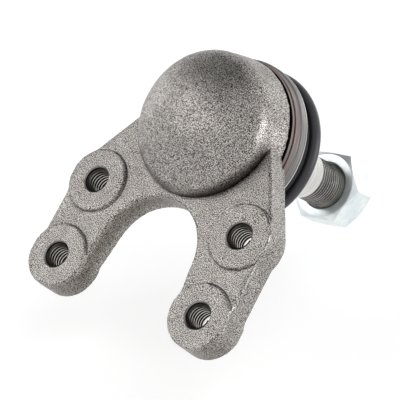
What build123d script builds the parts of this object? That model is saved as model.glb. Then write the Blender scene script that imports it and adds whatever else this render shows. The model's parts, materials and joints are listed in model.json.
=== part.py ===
"""Bolt-on suspension ball joint: forged housing, tapered ball stud, dust boot and nut.

All sizes are millimetres. The origin is the centre of the four tapped bosses, on their
faces. +Z points away from the stud, +Y points to the cup and X runs across the two legs.
The cup, its seats, the boot and the stud share one axis, the cup axis, which leans
towards the legs. A height is measured along that axis, from the level of the boss faces,
and the stud lies at negative heights.
"""
import os
from math import cos, isclose, radians, sin, sqrt, tan

from build123d import *

# Bosses and tapped holes (M10)
boss_spacing_x = 69.5
boss_spacing_y = 31.5
boss_radius = 12.4
boss_height = 1.2
tapped_hole_radius = 5.0
hole_mouth_chamfer = 0.4

# Forged plate: two legs, the fork between them and the shoulders up to the cup
plate_depth = 12.5
leg_outer_x = 46.0
fork_arch_radius = 21.0
fork_arch_y = -1.6
fork_draft_angle = 8.0
shoulder_angle = 31.3
lower_edge_radius = 1.5
upper_edge_radius = 1.0
boss_edge_radius = 1.0
shoulder_overrun = 3.0

# Forged cup: draft wall, crown and the machined face that carries the boot
cup_y = 49.3
cup_lean_angle = 9.0
rim_inset = 0.1
rim_height = -8.9
wall_draft_angle = 7.7
crown_radius = 44.0
crown_height = 16.5
crown_shoulder_radius = 8.4
cup_foot_radius = 1.4
rim_clear_gap = 1.9

# Spigot under the rim and the bore inside it
spigot_end_height = -26.5
spigot_step_height = -19.6
spigot_step_depth = 1.0
spigot_wall = 3.5
spigot_edge_radius = 1.5
bore_cylinder_height = 2.5
spring_pocket_radius = 12.5
spring_pocket_height = 9.6
bore_floor_height = 11.2
lip_thickness = 1.5
lip_overhang = 1.2

# Ball stud (M18, taper 1:8)
ball_radius = 17.5
ball_height = -10.0
ball_flat_radius = 4.0
neck_radius = 8.5
neck_end_height = -28.5
collar_radius = 11.5
collar_height = -35.5
taper_start_height = -41.5
taper_end_height = -68.0
taper_small_radius = 9.55
taper_ratio = 8.0
thread_radius = 9.0
thread_start_height = -69.0
stud_end_height = -103.5
thread_end_chamfer = 1.2

# Seats, preload spring and closing plate
seat_wall = 4.0
seat_fit = 0.1
seat_split_gap = 0.6
upper_seat_hole_radius = 5.0
lower_seat_sphere_depth = 10.0
lower_seat_end_width = 6.0
closing_plate_width = 5.5
closing_plate_thickness = 3.0
closing_plate_chamfer = 0.8
spring_inner_radius = 5.5
spring_thickness = 0.7
spring_cone_height = 0.8

# Retaining ring: two turns of flat wire
ring_wire_width = 3.3
ring_top_gap = 0.8
ring_height = 2.3
ring_seam_width = 0.25
ring_seam_depth = 0.8
ring_seam_drop = 1.9
ring_seam_start_angle = 42.0
ring_seam_sweep_angle = 40.0
part_gap = 0.1

# Steel band that clamps the boot's large end
band_overhang = 0.4
band_step_depth = 0.6
band_step_height = -15.0
band_end_height = -19.3
band_flange_thickness = 1.3
band_edge_chamfer = 0.3

# Dust boot
boot_wall = 2.2
boot_neck_depth = 0.4
boot_neck_height = -22.0
boot_bulge_height = -27.9
boot_bulge_section_radius = 5.0
boot_bulge_turn_angle = 45.0
boot_sleeve_radius = 15.2
boot_sleeve_top_height = -36.2
boot_end_height = -41.0
boot_stud_fit = 0.1

# Lip ring on the boot's small end
lip_ring_wire_radius = 0.8
lip_ring_height = -38.8
lip_groove_width = 2.0

# Hex nut (M18, 27 mm across flats)
nut_across_flats = 27.0
nut_top_height = -85.0
nut_thickness = 14.8
nut_chamfer_angle = 30.0
nut_face_radius = 12.9
nut_turn_angle = 8.6
nut_thread_fit = 0.05
nut_mouth_radius = 9.9

# The cup axis, a plane across it and the half plane that holds the turned profiles
lean = radians(cup_lean_angle)
cup_center = Vector(0, cup_y, 0)
cup_direction = Vector(0, -sin(lean), cos(lean))
cup_axis = Axis(cup_center, cup_direction)
seam_start = radians(ring_seam_start_angle)
cup_plane = Plane(origin=cup_center, x_dir=(1, 0, 0), z_dir=cup_direction)
profile_plane = Plane(origin=cup_center, x_dir=(1, 0, 0), z_dir=(0, -cos(lean), -sin(lean)))

boss_places = GridLocations(boss_spacing_x, boss_spacing_y, 2, 2).locations
hole_x = boss_spacing_x / 2
hole_y = boss_spacing_y / 2

# Radii follow the ball outwards: seats and bore, spigot, retaining ring and rim, then the
# boot's bead and the band over it. The boot's bulge is as wide as the band.
bore_radius = ball_radius + seat_wall
lower_seat_mouth_radius = bore_radius - lower_seat_end_width
closing_plate_opening_radius = bore_radius - closing_plate_width
lip_radius = bore_radius - lip_overhang
spigot_end_radius = bore_radius + spigot_wall
spigot_radius = spigot_end_radius + spigot_step_depth
ring_bore_radius = spigot_radius + part_gap
ring_radius = ring_bore_radius + ring_wire_width
rim_radius = ring_radius - rim_inset
rim_clear_radius = ring_radius + rim_clear_gap
bead_radius = ring_bore_radius + boot_wall
skirt_radius = bead_radius + part_gap
band_upper_radius = ring_radius + band_overhang
band_lower_radius = band_upper_radius + band_step_depth
boot_neck_radius = bead_radius - boot_neck_depth
boot_bulge_radius = band_lower_radius


def wall_radius(height):
    """Radius of the cup's draft wall at a height."""
    return rim_radius - (height - rim_height) * tan(radians(wall_draft_angle))


def sphere_radius(radius, depth):
    """Radius of the circle where a sphere is cut at a distance from its centre."""
    return sqrt(radius**2 - depth**2)


# Crown arc: it starts on the axis and meets the draft wall, and the corner is rounded
crown_center_height = crown_height - crown_radius
wall_slope = tan(radians(wall_draft_angle))
wall_offset = wall_radius(crown_center_height)
crown_meet_rise = (
    wall_offset * wall_slope + sqrt(crown_radius**2 * (1 + wall_slope**2) - wall_offset**2)
) / (1 + wall_slope**2)
crown_meet_height = crown_center_height + crown_meet_rise
crown_meet_radius = wall_radius(crown_meet_height)
crown_middle_radius = crown_meet_radius / 2
crown_middle_height = crown_center_height + sphere_radius(crown_radius, crown_middle_radius)

# The shoulder line touches the upper boss and runs to the cup's side
shoulder_turn = radians(shoulder_angle)
shoulder_start_x = hole_x + boss_radius * cos(shoulder_turn)
shoulder_start_y = hole_y + boss_radius * sin(shoulder_turn)
shoulder_end_y = cup_y + shoulder_overrun
shoulder_end_x = shoulder_start_x - (shoulder_end_y - shoulder_start_y) * tan(shoulder_turn)

# The fork's straight sides touch the arch and open towards the leg ends
fork_turn = radians(fork_draft_angle)
fork_side_x = fork_arch_radius * cos(fork_turn)
fork_side_y = fork_arch_y + fork_arch_radius * sin(fork_turn)
fork_mouth_y = -hole_y - boss_radius
fork_mouth_x = fork_side_x + (fork_side_y - fork_mouth_y) * tan(fork_turn)

# The cup's wall comes out of the plate in nearly a circle round an upright axis
plate_top = -boss_height
foot_radius = wall_radius(plate_top)
foot_outer_radius = foot_radius + cup_foot_radius
foot_top = plate_top + cup_foot_radius

# Plate outline: legs and shoulders, less the fork, with a round end at each boss
with BuildSketch(Plane.XY.offset(-plate_depth)) as plate_outline:
    with BuildLine():
        Polyline(
            (leg_outer_x, -hole_y),
            (leg_outer_x, hole_y),
            (shoulder_start_x, shoulder_start_y),
            (shoulder_end_x, shoulder_end_y),
            (-shoulder_end_x, shoulder_end_y),
            (-shoulder_start_x, shoulder_start_y),
            (-leg_outer_x, hole_y),
            (-leg_outer_x, -hole_y),
            close=True,
        )
    make_face()
    with Locations((0, fork_arch_y)):
        Circle(fork_arch_radius, mode=Mode.SUBTRACT)
    with BuildLine():
        Polyline(
            (fork_side_x, fork_side_y),
            (fork_mouth_x, fork_mouth_y),
            (-fork_mouth_x, fork_mouth_y),
            (-fork_side_x, fork_side_y),
            close=True,
        )
    make_face(mode=Mode.SUBTRACT)
    with Locations(boss_places):
        Circle(boss_radius)

# Hollow radius that leads from the plate into the cup, kept inside the plate's outline
with BuildPart() as cup_foot:
    with BuildSketch(Plane.XZ.offset(-cup_y)):
        with BuildLine():
            Polyline(
                (foot_radius, foot_top),
                (bore_radius, foot_top),
                (bore_radius, plate_top - cup_foot_radius),
                (foot_outer_radius, plate_top - cup_foot_radius),
                (foot_outer_radius, plate_top),
            )
            RadiusArc((foot_outer_radius, plate_top), (foot_radius, foot_top), cup_foot_radius)
        make_face()
    revolve(axis=Axis((0, cup_y, 0), (0, 0, 1)))
    extrude(plate_outline.sketch, amount=plate_depth + cup_foot_radius, mode=Mode.INTERSECT)

# The four bosses, with rounded faces
with BuildPart() as bosses:
    with BuildSketch():
        with Locations(boss_places):
            Circle(boss_radius)
    extrude(amount=-plate_depth / 2)
    fillet(bosses.edges().group_by(Axis.Z)[-1], boss_edge_radius)

# Heights of the machined pieces under the rim, each from the one that carries it
ring_top_height = rim_height - ring_top_gap
ring_bottom_height = ring_top_height - ring_height
band_top_height = ring_bottom_height - part_gap
band_flange_height = band_top_height - band_flange_thickness
lip_top_height = spigot_end_height + lip_thickness
plate_bottom_height = lip_top_height + part_gap
closing_plate_top_height = plate_bottom_height + closing_plate_thickness
machining_end_height = -(plate_depth + cup_y)

with BuildPart() as housing:
    extrude(plate_outline.sketch, amount=plate_depth - boss_height)
    fillet(housing.edges().group_by(Axis.Z)[0], lower_edge_radius)
    fillet(housing.edges().group_by(Axis.Z)[-1], upper_edge_radius)
    add(bosses.part)
    add(cup_foot.part)

    # Cup, solid at first
    with BuildSketch(profile_plane):
        with BuildLine():
            Line((0, crown_height), (0, rim_height))
            Line((0, rim_height), (rim_radius, rim_height))
            Line((rim_radius, rim_height), (crown_meet_radius, crown_meet_height))
            ThreePointArc(
                (crown_meet_radius, crown_meet_height),
                (crown_middle_radius, crown_middle_height),
                (0, crown_height),
            )
        make_face()
        crown_corner = vertices().sort_by_distance((crown_meet_radius, crown_meet_height, 0))[0]
        fillet(crown_corner, crown_shoulder_radius)
    revolve(axis=cup_axis)

    # Everything below the rim is turned away, which also relieves the legs beside the ring
    with BuildSketch(profile_plane):
        with BuildLine():
            Polyline(
                (0, rim_height),
                (rim_clear_radius, rim_height),
                (rim_clear_radius, machining_end_height),
                (0, machining_end_height),
                close=True,
            )
        make_face()
    revolve(axis=cup_axis, mode=Mode.SUBTRACT)

    # Spigot with a rounded end
    with BuildSketch(profile_plane):
        with BuildLine():
            Polyline(
                (0, spigot_end_height),
                (spigot_end_radius, spigot_end_height),
                (spigot_end_radius, spigot_step_height),
                (spigot_radius, spigot_step_height),
                (spigot_radius, rim_height),
                (0, rim_height),
                close=True,
            )
        make_face()
        spigot_corner = vertices().sort_by_distance((spigot_end_radius, spigot_end_height, 0))[0]
        fillet(spigot_corner, spigot_edge_radius)
    revolve(axis=cup_axis)

    # Bore with its cone, the spring's pocket and the lip that is rolled over the plate
    with BuildSketch(profile_plane):
        with BuildLine():
            Polyline(
                (0, bore_floor_height),
                (spring_pocket_radius, bore_floor_height),
                (spring_pocket_radius, spring_pocket_height),
                (bore_radius, bore_cylinder_height),
                (bore_radius, lip_top_height),
                (lip_radius, lip_top_height),
                (lip_radius, machining_end_height),
                (0, machining_end_height),
                close=True,
            )
        make_face()
    revolve(axis=cup_axis, mode=Mode.SUBTRACT)

    # Tapped holes
    with Locations(boss_places):
        Hole(tapped_hole_radius)
    hole_mouths = housing.edges().filter_by(
        lambda e: e.geom_type == GeomType.CIRCLE and isclose(e.radius, tapped_hole_radius)
    )
    chamfer(hole_mouths, hole_mouth_chamfer)
housing.part.label = "housing"

# Upper seat: moulded cap between the ball and the bore, with a grease hole
seat_sphere_radius = ball_radius + seat_fit
upper_seat_bottom = ball_height + seat_split_gap / 2
upper_seat_wall_radius = bore_radius - seat_fit
upper_seat_cylinder_height = bore_cylinder_height - seat_fit
upper_seat_top_height = spring_pocket_height - seat_fit
upper_seat_top_radius = spring_pocket_radius - seat_fit
seat_bottom_inner = sphere_radius(seat_sphere_radius, seat_split_gap / 2)
seat_hole_height = ball_height + sphere_radius(seat_sphere_radius, upper_seat_hole_radius)
seat_middle_depth = (seat_hole_height - ball_height) / 2
seat_middle_radius = sphere_radius(seat_sphere_radius, seat_middle_depth)
with BuildPart() as upper_ball_seat:
    with BuildSketch(profile_plane):
        with BuildLine():
            Polyline(
                (seat_bottom_inner, upper_seat_bottom),
                (upper_seat_wall_radius, upper_seat_bottom),
                (upper_seat_wall_radius, upper_seat_cylinder_height),
                (upper_seat_top_radius, upper_seat_top_height),
                (upper_seat_hole_radius, upper_seat_top_height),
                (upper_seat_hole_radius, seat_hole_height),
            )
            ThreePointArc(
                (upper_seat_hole_radius, seat_hole_height),
                (seat_middle_radius, ball_height + seat_middle_depth),
                (seat_bottom_inner, upper_seat_bottom),
            )
        make_face()
    revolve(axis=cup_axis)
upper_ball_seat.part.label = "upper_ball_seat"

# Lower seat: ring under the ball, open in a cone for the neck's swing
lower_seat_top = ball_height - seat_split_gap / 2
lower_seat_sphere_height = ball_height - lower_seat_sphere_depth
lower_seat_end_height = closing_plate_top_height + part_gap
lower_sphere_end_radius = sphere_radius(seat_sphere_radius, lower_seat_sphere_depth)
lower_middle_depth = lower_seat_sphere_depth / 2
with BuildPart() as lower_ball_seat:
    with BuildSketch(profile_plane):
        with BuildLine():
            Polyline(
                (lower_sphere_end_radius, lower_seat_sphere_height),
                (lower_seat_mouth_radius, lower_seat_end_height),
                (upper_seat_wall_radius, lower_seat_end_height),
                (upper_seat_wall_radius, lower_seat_top),
                (seat_bottom_inner, lower_seat_top),
            )
            ThreePointArc(
                (seat_bottom_inner, lower_seat_top),
                (
                    sphere_radius(seat_sphere_radius, lower_middle_depth),
                    ball_height - lower_middle_depth,
                ),
                (lower_sphere_end_radius, lower_seat_sphere_height),
            )
        make_face()
    revolve(axis=cup_axis)
lower_ball_seat.part.label = "lower_ball_seat"

# Preload spring: a disc spring in the pocket over the upper seat
spring_outer_radius = spring_pocket_radius - seat_fit
spring_foot_height = upper_seat_top_height + part_gap / 2
with BuildPart() as preload_spring:
    with BuildSketch(profile_plane):
        with BuildLine():
            Polyline(
                (spring_outer_radius, spring_foot_height),
                (spring_outer_radius, spring_foot_height + spring_thickness),
                (spring_inner_radius, spring_foot_height + spring_thickness + spring_cone_height),
                (spring_inner_radius, spring_foot_height + spring_cone_height),
                close=True,
            )
        make_face()
    revolve(axis=cup_axis)
preload_spring.part.label = "preload_spring"

# Closing plate in the bore's mouth
with BuildPart() as closing_plate:
    with BuildSketch(profile_plane):
        with BuildLine():
            Polyline(
                (closing_plate_opening_radius, closing_plate_top_height),
                (upper_seat_wall_radius, closing_plate_top_height),
                (upper_seat_wall_radius, plate_bottom_height),
                (closing_plate_opening_radius + closing_plate_chamfer, plate_bottom_height),
                (closing_plate_opening_radius, plate_bottom_height + closing_plate_chamfer),
                close=True,
            )
        make_face()
    revolve(axis=cup_axis)
closing_plate.part.label = "closing_plate"

# Ball stud: flat on the ball, neck, collar for the boot, 1:8 taper and thread
ball_flat_height = ball_height + sphere_radius(ball_radius, ball_flat_radius)
neck_start_height = ball_height - sphere_radius(ball_radius, neck_radius)
taper_large_radius = taper_small_radius + (taper_start_height - taper_end_height) / taper_ratio / 2
with BuildPart() as ball_stud:
    with BuildSketch(profile_plane):
        with BuildLine():
            ThreePointArc(
                (ball_flat_radius, ball_flat_height),
                (ball_radius, ball_height),
                (neck_radius, neck_start_height),
            )
            Polyline(
                (neck_radius, neck_start_height),
                (neck_radius, neck_end_height),
                (collar_radius, collar_height),
                (collar_radius, taper_start_height),
                (taper_large_radius, taper_start_height),
                (taper_small_radius, taper_end_height),
                (thread_radius, thread_start_height),
                (thread_radius, stud_end_height + thread_end_chamfer),
                (thread_radius - thread_end_chamfer, stud_end_height),
                (0, stud_end_height),
                (0, ball_flat_height),
                (ball_flat_radius, ball_flat_height),
            )
        make_face()
    revolve(axis=cup_axis)
ball_stud.part.label = "ball_stud"

# Retaining ring: flat wire whose two turns part in an open seam near the wire's end
seam_height = ring_top_height - ring_seam_drop
seam_start_plane = Plane(
    origin=cup_center,
    x_dir=cup_plane.from_local_coords((cos(seam_start), sin(seam_start), 0)) - cup_center,
    z_dir=cup_plane.from_local_coords((sin(seam_start), -cos(seam_start), 0)) - cup_center,
)
with BuildPart() as retaining_ring:
    with BuildSketch(profile_plane):
        with BuildLine():
            Polyline(
                (ring_bore_radius, ring_top_height),
                (ring_radius, ring_top_height),
                (ring_radius, ring_bottom_height),
                (ring_bore_radius, ring_bottom_height),
                close=True,
            )
        make_face()
    revolve(axis=cup_axis)
    with BuildSketch(seam_start_plane):
        with BuildLine():
            Polyline(
                (ring_radius - ring_seam_depth, seam_height),
                (ring_radius + ring_seam_depth, seam_height),
                (ring_radius + ring_seam_depth, seam_height - ring_seam_width),
                (ring_radius - ring_seam_depth, seam_height - ring_seam_width),
                close=True,
            )
        make_face()
    revolve(axis=cup_axis, revolution_arc=ring_seam_sweep_angle, mode=Mode.SUBTRACT)
retaining_ring.part.label = "retaining_ring"

# Steel band: flange under the retaining ring and a stepped skirt over the boot's bead
with BuildPart() as boot_ring:
    with BuildSketch(profile_plane):
        with BuildLine():
            Polyline(
                (ring_bore_radius, band_top_height),
                (band_upper_radius, band_top_height),
                (band_upper_radius, band_step_height),
                (band_lower_radius, band_step_height - band_step_depth),
                (band_lower_radius, band_end_height + band_edge_chamfer),
                (band_lower_radius - band_edge_chamfer, band_end_height),
                (skirt_radius, band_end_height),
                (skirt_radius, band_flange_height),
                (ring_bore_radius, band_flange_height),
                close=True,
            )
        make_face()
    revolve(axis=cup_axis)
boot_ring.part.label = "boot_ring"

# Dust boot: bead on the spigot, waist, one full bulge, a flat lower wall and a sleeve
bead_top_height = band_flange_height - part_gap
bulge_center_radius = boot_bulge_radius - boot_bulge_section_radius
bulge_inner_radius = boot_bulge_section_radius - boot_wall
bulge_turn = radians(boot_bulge_turn_angle)
sleeve_bore_radius = collar_radius + boot_stud_fit


def bulge_point(section_radius, turn):
    """Point of the bulge's section circle, turned up from its outermost point."""
    return (
        bulge_center_radius + section_radius * cos(turn),
        boot_bulge_height + section_radius * sin(turn),
    )


lip_groove_radius = boot_sleeve_radius - lip_ring_wire_radius
groove_top_height = lip_ring_height + lip_groove_width / 2
groove_bottom_height = lip_ring_height - lip_groove_width / 2
with BuildPart() as dust_boot:
    with BuildSketch(profile_plane):
        with BuildLine():
            Polyline(
                bulge_point(boot_bulge_section_radius, bulge_turn),
                (boot_neck_radius, boot_neck_height),
                (bead_radius, band_end_height),
                (bead_radius, bead_top_height),
                (ring_bore_radius, bead_top_height),
                (ring_bore_radius, spigot_step_height),
                (boot_neck_radius - boot_wall, boot_neck_height),
                bulge_point(bulge_inner_radius, bulge_turn),
            )
            ThreePointArc(
                bulge_point(bulge_inner_radius, bulge_turn),
                bulge_point(bulge_inner_radius, 0),
                bulge_point(bulge_inner_radius, -radians(90)),
            )
            Polyline(
                bulge_point(bulge_inner_radius, -radians(90)),
                (sleeve_bore_radius + boot_wall, boot_sleeve_top_height + boot_wall),
                (sleeve_bore_radius, boot_sleeve_top_height),
                (sleeve_bore_radius, boot_end_height),
                (boot_sleeve_radius, boot_end_height),
                (boot_sleeve_radius, groove_bottom_height),
                (lip_groove_radius, groove_bottom_height),
                (lip_groove_radius, groove_top_height),
                (boot_sleeve_radius, groove_top_height),
                (boot_sleeve_radius, boot_sleeve_top_height),
                bulge_point(boot_bulge_section_radius, -radians(90)),
            )
            ThreePointArc(
                bulge_point(boot_bulge_section_radius, -radians(90)),
                bulge_point(boot_bulge_section_radius, 0),
                bulge_point(boot_bulge_section_radius, bulge_turn),
            )
        make_face()
    revolve(axis=cup_axis)
dust_boot.part.label = "dust_boot"

# Lip ring: round wire in the sleeve's groove
lip_ring_center_radius = lip_groove_radius + lip_ring_wire_radius + part_gap
with BuildPart() as boot_lip_ring:
    with BuildSketch(profile_plane):
        with Locations((lip_ring_center_radius, lip_ring_height)):
            Circle(lip_ring_wire_radius)
    revolve(axis=cup_axis)
boot_lip_ring.part.label = "boot_lip_ring"

# Hex nut, both faces chamfered
nut_bottom_height = nut_top_height - nut_thickness
nut_corner_radius = nut_across_flats / sqrt(3) + part_gap
nut_chamfer_drop = (nut_corner_radius - nut_face_radius) * tan(radians(nut_chamfer_angle))
nut_bore_radius = thread_radius + nut_thread_fit
nut_mouth_drop = nut_mouth_radius - nut_bore_radius
with BuildPart() as stud_nut:
    with BuildSketch(cup_plane.offset(nut_bottom_height)):
        RegularPolygon(
            nut_across_flats / 2, 6, major_radius=False, rotation=nut_turn_angle
        )
    extrude(amount=nut_thickness)
    with BuildSketch(profile_plane):
        with BuildLine():
            Polyline(
                (nut_mouth_radius, nut_top_height),
                (nut_face_radius, nut_top_height),
                (nut_corner_radius, nut_top_height - nut_chamfer_drop),
                (nut_corner_radius, nut_bottom_height + nut_chamfer_drop),
                (nut_face_radius, nut_bottom_height),
                (nut_mouth_radius, nut_bottom_height),
                (nut_bore_radius, nut_bottom_height + nut_mouth_drop),
                (nut_bore_radius, nut_top_height - nut_mouth_drop),
                close=True,
            )
        make_face()
    revolve(axis=cup_axis, mode=Mode.INTERSECT)
stud_nut.part.label = "stud_nut"

pieces = [
    housing,
    upper_ball_seat,
    lower_ball_seat,
    preload_spring,
    closing_plate,
    ball_stud,
    retaining_ring,
    boot_ring,
    dust_boot,
    boot_lip_ring,
    stud_nut,
]
os.makedirs("parts", exist_ok=True)
for piece in pieces:
    export_step(piece.part, f"parts/{piece.part.label}.step")
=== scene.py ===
"""Looks of a bolt-on suspension ball joint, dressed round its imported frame.

The frame gives the bodies, the joints and the true size of every piece. This script
models what shows: the shot-blasted forging with its tapped holes, the flat-wire ring and
the turned band, the rubber boot, the ground stud with its rolled thread and the zinc
plated nut. Sizes are in millimetres and every mesh is in metres, in the frame's axes.
"""

from __future__ import annotations

import json
import logging
import math
from collections.abc import Callable, Sequence
from dataclasses import dataclass
from enum import Enum

import bpy
from mathutils import Matrix, Vector

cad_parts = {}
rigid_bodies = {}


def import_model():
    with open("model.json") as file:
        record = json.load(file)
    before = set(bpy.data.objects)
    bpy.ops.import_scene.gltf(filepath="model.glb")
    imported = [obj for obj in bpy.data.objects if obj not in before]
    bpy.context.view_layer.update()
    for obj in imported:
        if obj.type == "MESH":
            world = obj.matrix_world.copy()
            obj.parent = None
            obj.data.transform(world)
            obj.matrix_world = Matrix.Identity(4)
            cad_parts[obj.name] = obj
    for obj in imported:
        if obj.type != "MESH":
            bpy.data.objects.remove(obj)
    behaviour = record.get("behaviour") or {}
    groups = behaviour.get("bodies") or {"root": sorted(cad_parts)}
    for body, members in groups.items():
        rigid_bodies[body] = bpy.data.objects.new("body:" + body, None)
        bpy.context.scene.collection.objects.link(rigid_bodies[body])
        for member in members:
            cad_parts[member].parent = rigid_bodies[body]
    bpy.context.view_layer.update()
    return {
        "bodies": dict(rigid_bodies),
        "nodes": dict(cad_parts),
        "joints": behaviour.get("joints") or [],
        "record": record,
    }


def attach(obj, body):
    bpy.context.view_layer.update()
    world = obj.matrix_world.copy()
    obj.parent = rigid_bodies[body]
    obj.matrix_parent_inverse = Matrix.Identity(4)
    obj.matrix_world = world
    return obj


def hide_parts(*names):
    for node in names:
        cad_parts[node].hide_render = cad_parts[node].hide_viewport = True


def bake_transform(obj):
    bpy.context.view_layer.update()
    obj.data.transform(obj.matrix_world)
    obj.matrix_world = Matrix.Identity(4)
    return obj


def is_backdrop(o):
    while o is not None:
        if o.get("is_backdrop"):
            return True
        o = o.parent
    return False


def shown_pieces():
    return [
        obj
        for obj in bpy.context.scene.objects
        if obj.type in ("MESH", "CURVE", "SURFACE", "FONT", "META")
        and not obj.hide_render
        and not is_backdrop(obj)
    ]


log = logging.getLogger("ball_joint")

MM = 0.001
FULL_TURN = 2 * math.pi
# Edge angle, in degrees, up to which a thread's ridge is shaded smooth.
THREAD_ANGLE = 35.0
# Points closer than these, in metres, become one: in a drawn section, and in a full turn.
SECTION_WELD = 1e-7
TURN_WELD = 1e-6

# Radial play in millimetres between the spigot and what goes round it.
PLAY = 0.1

Point = tuple[float, float]


class Body(Enum):
    """The rigid bodies that pieces ride on."""

    HOUSING = "housing"
    SEAT = "ball_seat"
    SWING = "swing"
    STUD = "stud"


class Slot(Enum):
    """The record's material slots."""

    FORGED_STEEL = "forged_steel"
    SEAT_PLASTIC = "seat_plastic"
    SPRING_STEEL = "spring_steel"
    PLATE_STEEL = "plate_steel"
    GROUND_STEEL = "ground_steel"
    OXIDISED_STEEL = "oxidised_steel"
    TURNED_STEEL = "turned_steel"
    BOOT_RUBBER = "boot_rubber"
    ZINC_PLATE = "zinc_plate"


class Plane(Enum):
    """The planes that lines are drawn in."""

    SECTION = "XZ"
    OUTLINE = "XY"


class Combine(Enum):
    """What a tool does to the piece that it meets."""

    CUT = "DIFFERENCE"
    ADD = "UNION"
    KEEP = "INTERSECT"


@dataclass(frozen=True)
class CupAxis:
    """The axis that the cup, the rings, the boot and the stud share.

    Attributes:
        centre_y: Where the axis crosses the level of the boss faces.
        lean: Its lean towards the legs, in degrees.
    """

    centre_y: float = 49.3
    lean: float = 9.0

    @property
    def matrix(self) -> Matrix:
        """Places a piece modelled round its own Z axis on the cup axis."""
        place = Matrix.Translation((0, self.centre_y * MM, 0))
        return place @ Matrix.Rotation(math.radians(self.lean), 4, "X")

    def point(self, height: float) -> tuple[float, float, float]:
        """A point of the axis in metres, at a height in millimetres above the boss faces' level."""
        return tuple(self.matrix @ Vector((0, 0, height * MM)))


AXIS = CupAxis()


# ---------------------------------------------------------------- modelling


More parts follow.
